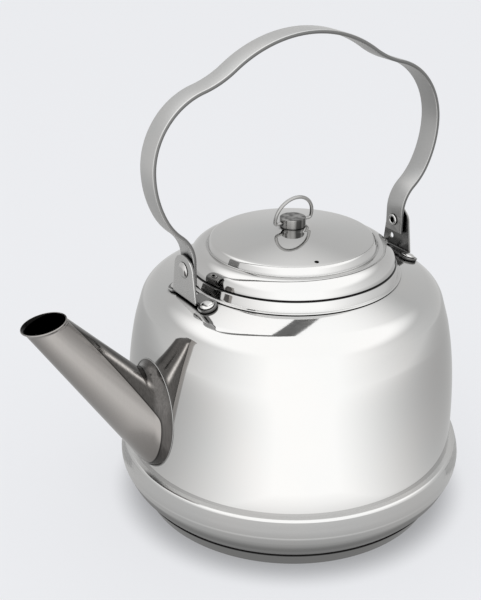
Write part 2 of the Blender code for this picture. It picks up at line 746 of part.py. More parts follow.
def make_pivot(name, side):
    """The handle's pivot: a domed head outside, and a rolled tubular end inside."""
    inner = HALF_SPAN - STRAP_THICK / 2 - GAP
    outer = stack()[2] + GAP
    loop = rounded([
        (0, outer + PIVOT_HEAD, 0),
        (PIVOT_HEAD_R * 0.8, outer + PIVOT_HEAD * 0.85, PIVOT_HEAD_R / 3),
        (PIVOT_HEAD_R, outer, 0),
        (PIVOT_SHANK_R, outer, 0),
        (PIVOT_SHANK_R, inner, 0),
        (PIVOT_ROLL_R, inner, 0),
        (PIVOT_ROLL_R, inner - PIVOT_ROLL, PIVOT_ROLL * 0.8),
        (PIVOT_BORE_R, inner - PIVOT_ROLL, PIVOT_ROLL * 0.4),
        (PIVOT_BORE_R, outer - BRACKET_THICK, 0),
        (0, outer - BRACKET_THICK, 0),
    ])
    pivot = turned(name, loop, parts, steps=SMALL_STEPS)
    pivot.location = (HANDLE_X, 0, PIVOT_Z)
    pivot.rotation_euler = (0, side * math.pi / 2, 0)


def make_washer(name, side):
    """A thin washer that keeps the strap off the plate."""
    start = stack()[0]
    bore = PIVOT_SHANK_R + GAP
    loop = [(bore, start), (WASHER_R, start), (WASHER_R, start + WASHER_THICK), (bore, start + WASHER_THICK)]
    washer = turned(name, loop, parts, steps=SMALL_STEPS, colour=DARK, roughness=0.4)
    washer.location = (HANDLE_X, 0, PIVOT_Z)
    washer.rotation_euler = (0, side * math.pi / 2, 0)


def make_mountings(bore):
    """Both brackets with their rivets and washers; returns the cutters that pierce the shell."""
    holes = []
    for name, side in (("front", -1), ("rear", 1)):
        tools = [bore]
        for hand, place, normal in rivet_places(side):
            make_foot_rivet(f"{name}_foot_rivet_{hand}", place, normal)
            tools.append(rod(f"{name}_hole_{hand}", FOOT_SHANK_R + GAP,
                             place - normal * CUT_PAST, place + normal * CUT_PAST))
        holes += tools[1:]
        if side > 0:
            plate = HANDLE_X + stack()[2]
            tools.append(rod("spare_hole", SPARE_HOLE_R, (plate - CUT_PAST, SPARE_HOLE_Y, SPARE_HOLE_Z),
                             (plate + CUT_PAST, SPARE_HOLE_Y, SPARE_HOLE_Z)))
        make_bracket(f"{name}_bracket", side, tools)
        make_pivot(f"{name}_pivot_rivet", side)
        make_washer(f"{name}_pivot_washer", side)
    return holes


def set_modifiers():
    """Turn every piece into its final mesh, shaded smooth between sharp edges."""
    bpy.context.view_layer.update()
    graph = bpy.context.evaluated_depsgraph_get()
    pieces = [thing for thing in parts.objects if thing.type == 'MESH']
    meshes = [bpy.data.meshes.new_from_object(piece.evaluated_get(graph)) for piece in pieces]
    for piece, mesh in zip(pieces, meshes):
        mesh.name = piece.name
        mesh.shade_smooth()
        mesh.set_sharp_from_angle(angle=math.radians(32))
        piece.modifiers.clear()
        piece.data = mesh


for old in list(bpy.data.objects):
    bpy.data.objects.remove(old, do_unlink=True)
parts = bpy.data.collections.new("tea_kettle")
cutters = bpy.data.collections.new("cutters")
bpy.context.scene.collection.children.link(parts)
bpy.context.scene.collection.children.link(cutters)

ring_z = crown_z(0) + GAP + KNOB_HEIGHT / 2
handle_axis = axis_empty("handle_axis", (HANDLE_X, 0, PIVOT_Z))
lid_axis = axis_empty("lid_axis", (0, 0, COLLAR_TOP_Z))
ring_axis = axis_empty("ring_axis", (0, 0, ring_z))
hang(ring_axis, lid_axis)

outside = [point for point in pan_line() if point.y > RING_TOP_Z] + shell_line()[1:]
around = offset_line(outside, -GAP)
kettle_envelope = turned("kettle_envelope", [(0, around[0].y)] + around + [(0, around[-1].y)], cutters)
pivot_bore = rod("pivot_bore", PIVOT_SHANK_R + GAP, (-2 * HALF_SPAN, 0, PIVOT_Z), (2 * HALF_SPAN, 0, PIVOT_Z))

make_pan()
make_shell(make_mountings(pivot_bore))
make_collar()
make_spout(kettle_envelope)
make_lid(lid_axis)
make_skirt(lid_axis)
make_knob(lid_axis, ring_z)
make_knob_rivet(lid_axis)
make_ring(ring_axis)
make_handle(handle_axis, pivot_bore)
set_modifiers()
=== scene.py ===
# %% [markdown]
# A tea kettle in polished steel
#
# The kettle's construction comes as a fixed frame: every pressed sheet, rivet and joint at its
# real size. This script dresses that frame. It turns, sweeps and lofts each piece again with a
# fine surface, because polished steel shows every flat of a coarse one, and then gives it its
# finish, its light and a camera. All lengths are in metres, and +Z is up.

# %% Load the frame
import math

import bmesh
import bpy
from mathutils import Matrix, Vector


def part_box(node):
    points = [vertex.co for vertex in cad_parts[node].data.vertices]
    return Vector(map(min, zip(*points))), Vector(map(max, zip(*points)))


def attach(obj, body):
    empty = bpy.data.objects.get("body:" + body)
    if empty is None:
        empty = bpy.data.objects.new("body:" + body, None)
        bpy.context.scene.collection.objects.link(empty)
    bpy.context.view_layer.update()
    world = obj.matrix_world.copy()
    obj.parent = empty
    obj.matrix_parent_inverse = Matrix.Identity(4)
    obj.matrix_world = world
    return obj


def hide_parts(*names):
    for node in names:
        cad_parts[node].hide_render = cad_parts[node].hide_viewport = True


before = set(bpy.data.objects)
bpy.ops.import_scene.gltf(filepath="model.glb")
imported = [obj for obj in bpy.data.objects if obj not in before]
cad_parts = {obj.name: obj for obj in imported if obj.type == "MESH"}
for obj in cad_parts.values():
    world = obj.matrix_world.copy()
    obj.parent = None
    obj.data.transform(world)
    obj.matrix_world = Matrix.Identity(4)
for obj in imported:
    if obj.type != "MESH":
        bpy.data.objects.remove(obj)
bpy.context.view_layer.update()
print("pieces in the frame:", len(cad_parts))

# %% [markdown]
# The camera
#
# A photograph fixes where its camera stood. Straight edges and round rims of known shape were
# matched to the picture, which gives the place, the two angles and the lens. The picture is
# upright, and Blender counts the sensor's width along the longer side, so 36 mm stand for the
# 600 pixels of its height.

# %% Camera
PHOTO_HEIGHT = 600
SENSOR = 36.0
FOCAL_PIXELS = 1135.94
CAMERA_PLACE = (-0.4062, -0.5801, 0.4698)
CAMERA_HEADING = math.radians(-32.19)
CAMERA_DROP = math.radians(24.79)


def placed(name, data):
    """A new object in the scene."""
    made = bpy.data.objects.new(name, data)
    bpy.context.scene.collection.objects.link(made)
    return made


camera_data = bpy.data.cameras.new("camera")
camera_data.sensor_width = SENSOR
camera_data.lens = FOCAL_PIXELS * SENSOR / PHOTO_HEIGHT
camera_data.clip_start = 0.01
camera = placed("camera", camera_data)
camera.location = CAMERA_PLACE
camera.rotation_euler = (math.pi / 2 - CAMERA_DROP, 0, CAMERA_HEADING)
bpy.context.scene.camera = camera
bpy.context.scene.view_settings.view_transform = "Standard"
print("lens in mm:", round(camera_data.lens, 2))

# %% [markdown]
# Nodes without clutter
#
# Materials, the world and Geometry Nodes are all trees of nodes. One helper adds a node, sets
# its options, and fills each input with a value or with a link from another node's output. The
# others are short names for the nodes that come back again and again.

# %% Helpers for nodes
def add_node(tree, kind, inputs=None, **settings):
    """Add a node. An input is given by name or number, and takes a value or an output to link."""
    made = tree.nodes.new(kind)
    for name, value in settings.items():
        setattr(made, name, value)
    for socket, value in (inputs or {}).items():
        if isinstance(value, bpy.types.NodeSocket):
            tree.links.new(value, made.inputs[socket])
        else:
            made.inputs[socket].default_value = value
    return made


def empty_tree(owner):
    """The node tree of a world or material, without its first nodes."""
    owner.use_nodes = True
    owner.node_tree.nodes.clear()
    return owner.node_tree


def calculate(tree, operation, *values):
    """A math node's output."""
    return add_node(tree, "ShaderNodeMath", dict(enumerate(values)), operation=operation).outputs[0]


def vector_math(tree, operation, *vectors, **scale):
    """A vector math node's outputs."""
    inputs = {**dict(enumerate(vectors)), **scale}
    return add_node(tree, "ShaderNodeVectorMath", inputs, operation=operation).outputs


def step_between(tree, value, start, end, low=0.0, high=1.0, way="SMOOTHSTEP"):
    """A step: low before start, high after end."""
    inputs = {"Value": value, "From Min": start, "From Max": end, "To Min": low, "To Max": high}
    return add_node(tree, "ShaderNodeMapRange", inputs, interpolation_type=way).outputs["Result"]


def ramp(tree, value, stops):
    """The colour of a ramp through stops of (position, colour), in rising order."""
    node = add_node(tree, "ShaderNodeValToRGB", {"Fac": value})
    for position, _ in stops[1:-1]:
        node.color_ramp.elements.new(position)
    for stop, (position, colour) in zip(node.color_ramp.elements, stops):
        stop.position = position
        stop.color = (*colour, 1)
    return node.outputs["Color"]


def noise(tree, place, scale, detail, roughness=0.5):
    """The value of a noise texture."""
    inputs = {"Vector": place, "Scale": scale, "Detail": detail, "Roughness": roughness}
    return add_node(tree, "ShaderNodeTexNoise", inputs).outputs["Fac"]


def own_place(tree):
    """The place of a point on its piece, in metres."""
    return add_node(tree, "ShaderNodeTexCoord").outputs["Object"]


def axes_of(tree, vector):
    """A vector's parts, by the names X, Y and Z."""
    return add_node(tree, "ShaderNodeSeparateXYZ", {0: vector}).outputs


def stored(tree, name):
    """A number that was stored on the mesh under a name."""
    return add_node(tree, "ShaderNodeAttribute", attribute_name=name).outputs["Fac"]

# %% [markdown]
# The studio
#
# Polished steel has hardly a colour of its own: what the eye sees is the room. So the room is
# the material's other half. A kettle like this is photographed in a white tent. It is brightest
# on the camera's side, where a large soft box stands, and overhead, and pale grey at the sides
# and behind. The world holds that tent as a function of the direction, so it stays put when the
# camera walks round. Only the steel's reflections see it: the camera sees an even background.

# %% Studio values
BACKGROUND = (0.820, 0.827, 0.847)
STUDIO_WHITE = (1, 1, 0.995, 1)
TENT = 0.77               # light from the far side
FRONT_LIGHT = 1.90        # light from the middle of the soft box
TOP_LIGHT = 1.78          # light from above
LIGHT_LIMIT = 1.80        # the soft box's cloth is never brighter than this
FRONT_HEADING = CAMERA_HEADING + math.radians(6.5)
FRONT_SPREAD = 2.4        # a larger power makes the soft box narrower
TOP_START = math.sin(math.radians(34))
TOP_END = math.sin(math.radians(64))
TOP_LEAN = 0.35           # the light from above reaches further down in front


def facing_front(tree, x, y):
    """How far a direction or place is on the soft box's side: 1 in its middle and 0 opposite."""
    flat = add_node(tree, "ShaderNodeCombineXYZ", {"X": x, "Y": y}).outputs[0]
    unit = vector_math(tree, "NORMALIZE", flat)[0]
    front = (math.sin(FRONT_HEADING), -math.cos(FRONT_HEADING), 0)
    dot = vector_math(tree, "DOT_PRODUCT", unit, front)["Value"]
    return calculate(tree, "MULTIPLY_ADD", dot, 0.5, 0.5)


def seen_in_steel(tree):
    """1 for a reflection that the eye sees, and 0 for any other ray, also from the paper to the steel."""
    path = add_node(tree, "ShaderNodeLightPath").outputs
    first = calculate(tree, "LESS_THAN", path["Diffuse Depth"], 0.5)
    return calculate(tree, "MULTIPLY", path["Is Glossy Ray"], first)


def soft_box(tree, facing, spread, dark):
    """The light from a side: dark opposite the soft box, and rising to its full light."""
    share = calculate(tree, "POWER", facing, spread)
    span = calculate(tree, "SUBTRACT", FRONT_LIGHT, dark)
    glow = calculate(tree, "MULTIPLY_ADD", share, span, dark)
    return calculate(tree, "MINIMUM", glow, LIGHT_LIMIT)

# %% World
world = bpy.data.worlds.new("studio")
bpy.context.scene.world = world
tree = empty_tree(world)
direction = axes_of(tree, add_node(tree, "ShaderNodeTexCoord").outputs["Generated"])
facing = facing_front(tree, direction["X"], direction["Y"])
sides = soft_box(tree, facing, FRONT_SPREAD, TENT)
height = calculate(tree, "MULTIPLY_ADD", facing, TOP_LEAN, direction["Z"])
above = step_between(tree, height, TOP_START, TOP_END)
to_top = calculate(tree, "SUBTRACT", TOP_LIGHT, sides)
glow = calculate(tree, "MULTIPLY_ADD", above, to_top, sides)
lit = add_node(tree, "ShaderNodeBackground", {"Color": STUDIO_WHITE, "Strength": glow}).outputs[0]
seen = add_node(tree, "ShaderNodeBackground", {"Color": (*BACKGROUND, 1), "Strength": 1.0}).outputs[0]
mixed = add_node(tree, "ShaderNodeMixShader", {0: seen_in_steel(tree), 1: seen, 2: lit}).outputs[0]
add_node(tree, "ShaderNodeOutputWorld", {"Surface": mixed})
print("studio light from", TENT, "to", LIGHT_LIMIT)

# %% [markdown]
# The floor
#
# The kettle stands on a pale sweep of paper. Most of the paper's brightness is its own glow,
# so that it matches the background everywhere, and the rest is a plain diffuse surface, which
# takes the kettle's shadow. Right beside the base the glow fades too, a painted contact shadow
# that keeps the contact dark. Steel sees the paper in another light: a mirror that stands upright
# and is seen from above shows the floor in front of it, and there the paper lies under the soft
# box. Close to the kettle it lies in the kettle's own shade, which the contact ramp paints into
# that light.

# %% Floor
FLOOR_RADIUS = 4.0
PAPER_GLOW = 0.72         # share of the background that doesn't take a shadow
PAPER_MATT = 0.345833     # colour of the diffuse rest, as a share of the background's colour
SHADE_R = 0.104           # the paper's own glow fades between these distances from the axis, as a painted contact shadow
SHADE_END = 0.132
SHADE_DEPTH = 0.42        # to this share, right beside the base
PAPER_BEHIND = 0.57       # the paper's light beside and behind the kettle
NEAR_R = 0.30
FAR_R = 1.20
NEAR_SPREAD = 4.0
CONTACT_RAMP = [          # distance from the kettle's axis, and the most light that the paper has there
    (0.100, 0.25), (0.117, 0.27), (0.120, 0.47), (0.125, 0.57), (0.140, 0.63), (0.156, 0.75),
    (0.167, 0.90), (0.177, 1.38), (0.190, 1.62), (0.205, 1.80)]

bpy.ops.mesh.primitive_circle_add(vertices=96, radius=FLOOR_RADIUS, fill_type="NGON")
floor = bpy.context.active_object
floor.name = "floor"
paper = bpy.data.materials.new("paper")
tree = empty_tree(paper)
place = own_place(tree)
reach = vector_math(tree, "LENGTH", place)["Value"]
far = step_between(tree, reach, NEAR_R, FAR_R)
spread = calculate(tree, "MULTIPLY_ADD", far, FRONT_SPREAD - NEAR_SPREAD, NEAR_SPREAD)
dark = calculate(tree, "MULTIPLY_ADD", far, TENT - PAPER_BEHIND, PAPER_BEHIND)
facing = facing_front(tree, axes_of(tree, place)["X"], axes_of(tree, place)["Y"])
open_paper = soft_box(tree, facing, spread, dark)
ramp_start = CONTACT_RAMP[0][0]
ramp_span = CONTACT_RAMP[-1][0] - ramp_start
along = calculate(tree, "DIVIDE", calculate(tree, "SUBTRACT", reach, ramp_start), ramp_span)
# A ramp's colours end at 1, so it holds half the light
halves = [((radius - ramp_start) / ramp_span, (light / 2,) * 3) for radius, light in CONTACT_RAMP]
contact = calculate(tree, "MULTIPLY", ramp(tree, along, halves), 2)
glow = calculate(tree, "MINIMUM", open_paper, contact)
for_steel = add_node(tree, "ShaderNodeEmission", {"Color": STUDIO_WHITE, "Strength": glow}).outputs[0]
# a painted contact shadow: the glow falls to SHADE_DEPTH of itself beside the base
own_glow = step_between(tree, reach, SHADE_R, SHADE_END, SHADE_DEPTH * PAPER_GLOW, PAPER_GLOW)
own = add_node(tree, "ShaderNodeEmission", {"Color": (*BACKGROUND, 1), "Strength": own_glow}).outputs[0]
matt_colour = [channel * PAPER_MATT for channel in BACKGROUND]
matt = add_node(tree, "ShaderNodeBsdfDiffuse", {"Color": (*matt_colour, 1)}).outputs[0]
for_eye = add_node(tree, "ShaderNodeAddShader", {0: own, 1: matt}).outputs[0]
mixed = add_node(tree, "ShaderNodeMixShader", {0: seen_in_steel(tree), 1: for_eye, 2: for_steel}).outputs[0]
clear = add_node(tree, "ShaderNodeBsdfTransparent").outputs[0]
behind = add_node(tree, "ShaderNodeNewGeometry").outputs["Backfacing"]
sided = add_node(tree, "ShaderNodeMixShader", {0: behind, 1: mixed, 2: clear}).outputs[0]
add_node(tree, "ShaderNodeOutputMaterial", {"Surface": sided})
floor.data.materials.append(paper)
print("floor radius in metres:", FLOOR_RADIUS)

# %% [markdown]
# The grain of steel
#
# One grade of stainless steel runs through the whole kettle, and only the finish changes:
# mirror polish on the wall and the lid, a softer polish on the pan and the spout, and a brushed
# strap. Beyond that, the spout, the knob and the knob's ring are drawn darker than the rest, as
# painted dark reflection. What the tool left behind runs one way: round the axis on a turned piece,
# upright on the knob and the spout, and along the strap. Noise gets that look when its coordinates
# are stretched that way first.

# %% Grain
AROUND_STRETCH = (0.004, 0.004, 0)
UPRIGHT_STRETCH = (1, 1, 0.05)
ALONG_STRETCH = 0.02


def grain_around(tree):
    """Coordinates that are stretched along the turning direction of a piece about the Z axis."""
    split = axes_of(tree, own_place(tree))
    flat = add_node(tree, "ShaderNodeCombineXYZ", {"X": split["X"], "Y": split["Y"]}).outputs[0]
    radius = vector_math(tree, "LENGTH", flat)["Value"]
    across = calculate(tree, "SUBTRACT", split["Z"], radius)
    turned = vector_math(tree, "MULTIPLY", vector_math(tree, "NORMALIZE", flat)[0], AROUND_STRETCH)[0]
    lift = add_node(tree, "ShaderNodeCombineXYZ", {"Z": across}).outputs[0]
    return vector_math(tree, "ADD", turned, lift)[0]


def grain_upright(tree):
    """Coordinates that are stretched along the vertical."""
    return vector_math(tree, "MULTIPLY", own_place(tree), UPRIGHT_STRETCH)[0]


def grain_along(tree):
    """Coordinates that follow a swept strap, from the lengths stored on it."""
    slow = calculate(tree, "MULTIPLY", stored(tree, "along"), ALONG_STRETCH)
    return add_node(tree, "ShaderNodeCombineXYZ", {"X": slow, "Y": stored(tree, "across")}).outputs[0]

# %% [markdown]
# Where steel is dark
#
# A photograph of polished steel is mostly pale, and its form is read from thin dark places. Here
# they are painted into the steel's colour. The joints between the pressed pieces are too fine for
# the light to reach, so painted shade makes them nearly black. The strap's sheared edges are drawn
# darker, and its inner face and the brackets' inner sides and feet carry painted shade. The spout
# stands out from the kettle and mirrors the dark of the room past the tent, so a painted dark
# reflection covers its upper side and its foot, with one painted pale highlight streak. Each
# function here gives the share of the steel's colour that is left at a place, always by the piece's
# own coordinates.

# %% Shades of the steel
CREVICE = 0.0030          # how near another surface has to be for painted shade on the steel beside it
CREVICE_SHUT = 0.42       # share of open sky at which a crevice is darkest
CREVICE_OPEN = 0.92       # and at which the steel has no painted shade
CREVICE_SHADE = 0.03
CREVICE_FROM = 0.052      # below this height the lap of the wall over the bead gets no painted crevice shade
SEAM_FOOT = 0.0106        # the seam between the base ring and the pan, painted dark as shade
SEAM_TOP = 0.0119
LID_SEAM_FOOT = 0.1735    # the line between the collar and the lid, painted dark as shade
LID_SEAM_TOP = 0.1745
SEAM_SHADE = 0.04
SEAM_SOFT = 0.0003
HANDLE_X = 0.0041         # the handle stands this far behind the kettle's axis
STRAP_FACE = 0.0080       # the strap's sheared edges start this far from its middle and are darker
STRAP_EDGE_SHADE = 0.31
STRAP_INSIDE = 0.0180     # along the strap's section, its inner face starts here, and gets painted shade
STRAP_INSIDE_SHADE = 0.78
BRACKET_INSIDE = 0.0873   # the brackets' inner faces and feet are nearer to the handle's middle, and get painted shade
INSIDE_SHADE = 0.30
KNOB_STREAKS = 230        # scale of the broad random streaks round the knob, painted as light and dark reflections
SPOUT_SHADES = [          # painted dark reflection, from the edge of the spout's light lower side to the middle of its upper side
    (0.00, 0.95), (0.025, 0.10), (0.065, 0.12), (0.14, 0.28), (0.60, 0.34), (0.85, 0.34), (0.95, 0.02)]


def outside_of(tree, level, foot, top):
    """1 below a seam's foot and above its top, and nearly 0 between them."""
    below = step_between(tree, level, foot, foot - SEAM_SOFT, SEAM_SHADE, 1.0)
    above = step_between(tree, level, top, top + SEAM_SOFT)
    return calculate(tree, "MAXIMUM", below, above)


def crevice_shade(tree, place, lines):
    """Painted shade where two surfaces nearly touch."""
    nearness = add_node(tree, "ShaderNodeAmbientOcclusion", {"Distance": CREVICE}, samples=8).outputs["AO"]
    # painted shade: the steel's colour falls to CREVICE_SHADE where little open sky is near
    painted_shade_share = step_between(tree, nearness, CREVICE_SHUT, CREVICE_OPEN, CREVICE_SHADE, 1.0)
    low = step_between(tree, axes_of(tree, place)["Z"], CREVICE_FROM + 0.01, CREVICE_FROM)
    return calculate(tree, "MAXIMUM", painted_shade_share, low)


def wall_shade(tree, place, lines):
    """Painted shade in crevices, and on the line between the collar and the lid."""
    seam = outside_of(tree, axes_of(tree, place)["Z"], LID_SEAM_FOOT, LID_SEAM_TOP)
    return calculate(tree, "MULTIPLY", crevice_shade(tree, place, lines), seam)


def pan_shade(tree, place, lines):
    """Painted shade in the seam between the base ring and the pan."""
    # painted shade in the pan's seam
    return outside_of(tree, axes_of(tree, place)["Z"], SEAM_FOOT, SEAM_TOP)


def strap_shade(tree, place, lines):
    """Painted shade in crevices and on the inner face, and darker sheared edges."""
    side = calculate(tree, "ABSOLUTE", axes_of(tree, place)["Y"])
    edge = step_between(tree, side, STRAP_FACE, STRAP_FACE + 0.0003, 1.0, STRAP_EDGE_SHADE)
    # painted shade on the strap's inner face
    inside = step_between(tree, stored(tree, "across"), STRAP_INSIDE, STRAP_INSIDE + 0.0002, 1.0,
                          STRAP_INSIDE_SHADE)
    both = calculate(tree, "MULTIPLY", edge, inside)
    return calculate(tree, "MULTIPLY", crevice_shade(tree, place, lines), both)


def bracket_shade(tree, place, lines):
    """Painted shade in crevices, and on the inner side of each bracket with its foot."""
    from_middle = calculate(tree, "SUBTRACT", axes_of(tree, place)["X"], HANDLE_X)
    # painted shade on the bracket's inner side and foot
    inside = step_between(tree, calculate(tree, "ABSOLUTE", from_middle),
                          BRACKET_INSIDE, BRACKET_INSIDE + 0.0004, INSIDE_SHADE, 1.0)
    return calculate(tree, "MULTIPLY", crevice_shade(tree, place, lines), inside)


def knob_shade(tree, place, lines):
    """Painted shade in crevices, and broad random upright streaks, painted as light and dark reflections."""
    broad = noise(tree, grain_upright(tree), KNOB_STREAKS, 1.0)
    # the streaks scale the colour from 0.35 to 2 times, as painted reflection
    streaks = step_between(tree, broad, 0.38, 0.62, 0.35, 2.0, "LINEAR")
    return calculate(tree, "MULTIPLY", crevice_shade(tree, place, lines), streaks)


def spout_shade(tree, place, lines):
    """Painted shade in crevices, and the spout's painted dark reflection with its painted highlight streak,
    from the numbers stored on its mesh.
    """
    side = stored(tree, "side")
    stops = [(position, (shade,) * 3) for position, shade in SPOUT_SHADES]
    dark = ramp(tree, calculate(tree, "MULTIPLY", side, 2), stops)
    bright = calculate(tree, "ADD", dark, stored(tree, "shine"))
    brushing = step_between(tree, side, 0.0, 0.1, 0.08, 1.1)
    streaks = calculate(tree, "MULTIPLY_ADD", calculate(tree, "SUBTRACT", lines, 0.5), brushing, 1.0)
    brushed = calculate(tree, "MULTIPLY", bright, streaks)
    return calculate(tree, "MULTIPLY", crevice_shade(tree, place, lines), brushed)

# %% [markdown]
# The form of the bead
#
# A mirror tells the slope of a surface far more finely than its outline does. The real bead is
# rolled flatter on its side than a round corner, with a fine line turned in below. Both are given
# as a height by level, which bends the reflection and leaves the mesh as it is. The side's height
# comes to 2.8 mm at the top of the bead, and the line's to 0.14 mm.

# %% Bead
LEDGE_ROUGH = 0.26        # the narrow ledge above the bead isn't polished out
BAND_START = 0.0322       # the bead's side is drawn flatter than it is round, from here
BAND_TURN = 0.0388        # up to here its slope is taken off evenly
BAND_STOP = 0.0433        # and the bead's top round starts here
BAND_LEAN = 0.34          # the slope that is taken off at the turn
BAND_REST = 12.8          # and how fast it still grows above
RIDGE_Z = 0.0314          # a fine line is turned into the bead here
RIDGE_HEIGHT = 0.0014
RIDGE_LEAN = 0.10


def rise(tree, level, start, stop):
    """How far a level is above the start, and no more above the stop."""
    above = calculate(tree, "SUBTRACT", level, start)
    return add_node(tree, "ShaderNodeClamp", {"Value": above, "Min": 0.0, "Max": stop - start}).outputs[0]


def ledge_dull(tree, place):
    """The least roughness: none on the bead, and a dull ledge above it."""
    return step_between(tree, axes_of(tree, place)["Z"], BAND_STOP, BAND_STOP + 0.002, 0.0, LEDGE_ROUGH)


def bead_form(tree, place):
    """The height that flattens the bead's side and turns the fine line into it."""
    level = axes_of(tree, place)["Z"]
    low = rise(tree, level, BAND_START, BAND_TURN)
    high = rise(tree, level, BAND_TURN, BAND_STOP)
    low_swell = calculate(tree, "MULTIPLY", calculate(tree, "MULTIPLY", low, low),
                          BAND_LEAN / (BAND_TURN - BAND_START) / 2)
    high_slope = calculate(tree, "MULTIPLY_ADD", high, BAND_REST / 2, BAND_LEAN)
    swell = calculate(tree, "MULTIPLY_ADD", high, high_slope, low_swell)
    ridge = rise(tree, level, RIDGE_Z, RIDGE_Z + RIDGE_HEIGHT)
    return calculate(tree, "MULTIPLY_ADD", ridge, -RIDGE_LEAN, swell)

# %% [markdown]
# The steel itself
#
# Each finish is the same Principled shader. Fine grain makes the roughness uneven and carries a
# faint relief, a slow waviness bends the reflections as pressed sheet does, a very slight change
# of tint keeps it from looking painted, and its painted shade darkens it where the last cells say.

# %% Steel finishes
STEEL = (0.545, 0.540, 0.534)
WORN_STEEL = (0.470, 0.455, 0.440)
COOL = (0.98, 0.99, 0.995)


def bump(tree, height, depth, under=None):
    """A normal that is bent by a height, and by the one under it."""
    inputs = {"Height": height, "Strength": 1.0, "Distance": depth}
    if under is not None:
        inputs["Normal"] = under
    return add_node(tree, "ShaderNodeBump", inputs).outputs["Normal"]


def steel(name, colour, rough, grain, fine, wave, shade=crevice_shade, dull=None, form=None):
    """A steel finish. Rough is the roughness and how much the grain changes it, and fine and wave are
    the scale and depth of the grain and of the waviness."""
    material = bpy.data.materials.new(name)
    material.use_nodes = True
    tree = material.node_tree
    shader = tree.nodes["Principled BSDF"]
    shader.inputs["Metallic"].default_value = 1.0
    place = own_place(tree)
    lines = noise(tree, grain(tree), fine[0], 4.0, 0.6)
    waves = noise(tree, place, wave[0], 1.5)
    roughness = step_between(tree, lines, 0.3, 0.7, rough[0] - rough[1], rough[0] + rough[1], "LINEAR")
    if dull:
        roughness = calculate(tree, "MAXIMUM", roughness, dull(tree, place))
    tree.links.new(roughness, shader.inputs["Roughness"])
    cool = [channel * share for channel, share in zip(colour, COOL)]
    tint = ramp(tree, waves, [(0.35, cool), (0.65, colour)])
    toned = vector_math(tree, "SCALE", tint, Scale=shade(tree, place, lines))[0]
    tree.links.new(toned, shader.inputs["Base Color"])
    normal = bump(tree, form(tree, place), 1.0) if form else None
    normal = bump(tree, waves, wave[1], normal)
    tree.links.new(bump(tree, lines, fine[1], normal), shader.inputs["Normal"])
    print(name, "has", len(tree.nodes), "nodes")
    return material


mirror_steel = steel("mirror_steel", STEEL, (0.045, 0.012), grain_around, (900, 0.0000015), (22, 0.00006),
                     wall_shade)
pan_steel = steel("pan_steel", STEEL, (0.11, 0.03), grain_around, (1100, 0.000003), (30, 0.00005),
                  pan_shade, ledge_dull, bead_form)
# The spout's steel is drawn darker than the wall's, as painted dark reflection.
spout_steel = steel("spout_steel", (0.268, 0.254, 0.244), (0.13, 0.03), grain_upright, (900, 0.000002),
                    (40, 0.00006), spout_shade)
brushed_steel = steel("brushed_steel", (0.530, 0.526, 0.521), (0.34, 0.07), grain_along, (2600, 0.000012),
                      (40, 0.00002), strap_shade)
pressed_steel = steel("pressed_steel", (0.560, 0.555, 0.548), (0.24, 0.05), own_place, (900, 0.000006),
                      (60, 0.00004), bracket_shade)
small_steel = steel("small_steel", STEEL, (0.10, 0.03), own_place, (1200, 0.000003), (90, 0.00002))
# The ring's wire is drawn darker, as painted dark reflection; the spout's seam wire shares this steel.
ring_steel = steel("ring_steel", (0.330, 0.326, 0.321), (0.10, 0.03), own_place, (1200, 0.000003),
                   (90, 0.00002))
# The knob's steel is drawn very dark, as painted dark reflection.
knob_steel = steel("knob_steel", (0.150, 0.148, 0.145), (0.12, 0.05), grain_upright, (700, 0.000006),
                   (90, 0.00002), knob_shade)
hidden_steel = steel("hidden_steel", WORN_STEEL, (0.30, 0.05), own_place, (900, 0.000006), (60, 0.00003))

# %% [markdown]
# Drawing a section
#
# Nearly every part of a kettle is pressed or spun, so it is one section turned about an axis.
# A section here is a short list of corners with a radius each. `rounded` turns the corners
# into arcs, `shifted` gives the other side of the sheet, and `sheet` closes the two into a
# wall with rounded edges. A real sheet edge is never sharp, and the small round catches light.
# Normals are averaged where faces meet, so `held_end` sets one point close to each edge, and the
# round doesn't darken the long face beside it.

# %% Section helpers
SHEET = 0.0008
GAP = 0.0003
ARC_STEP = math.radians(6)
EDGE_STEPS = 6
EDGE_HOLD = 0.00015       # the point that keeps an edge's shading off the long face is this near
CORNER_SHARE = 0.9        # a round takes up at most this share of the lines beside its corner


def rounded(corners):
    """Points along a line of (r, z, radius) corners, each corner rounded by its radius."""
    points = []
    for i, (r, z, radius) in enumerate(corners):
        here = Vector((r, z))
        if radius == 0 or i in (0, len(corners) - 1):
            points.append(here)
            continue
        before = Vector(corners[i - 1][:2]) - here
        after = Vector(corners[i + 1][:2]) - here
        half = before.angle(after) / 2
        reach = min(radius / math.tan(half), CORNER_SHARE * before.length, CORNER_SHARE * after.length)
        centre = here + (before.normalized() + after.normalized()).normalized() * reach / math.cos(half)
        turn = math.pi - 2 * half
        if before.cross(after) > 0:
            turn = -turn
        arm = here + before.normalized() * reach - centre
        steps = max(2, math.ceil(abs(turn) / ARC_STEP))
        for k in range(steps + 1):
            points.append(centre + Matrix.Rotation(turn * k / steps, 2) @ arm)
    return points


def shifted(points, distance):
    """The line moved to the left of its direction, at the same distance round its bends."""
    moved = []
    for i, here in enumerate(points):
        sides = []
        if i > 0:
            sides.append((here - points[i - 1]).normalized())
        if i < len(points) - 1:
            sides.append((points[i + 1] - here).normalized())
        normals = [Vector((-side.y, side.x)) for side in sides]
        mean = sum(normals, Vector((0, 0))).normalized()
        moved.append(here + mean * distance / mean.dot(normals[0]))
    return moved


def edge_round(start, end, forward):
    """Points on the half circle from start to end that bulges forward."""
    middle = (start + end) / 2
    arm = start - middle
    out = forward.normalized() * arm.length
    return [middle + arm * math.cos(math.pi * k / EDGE_STEPS) + out * math.sin(math.pi * k / EDGE_STEPS)
            for k in range(1, EDGE_STEPS)]


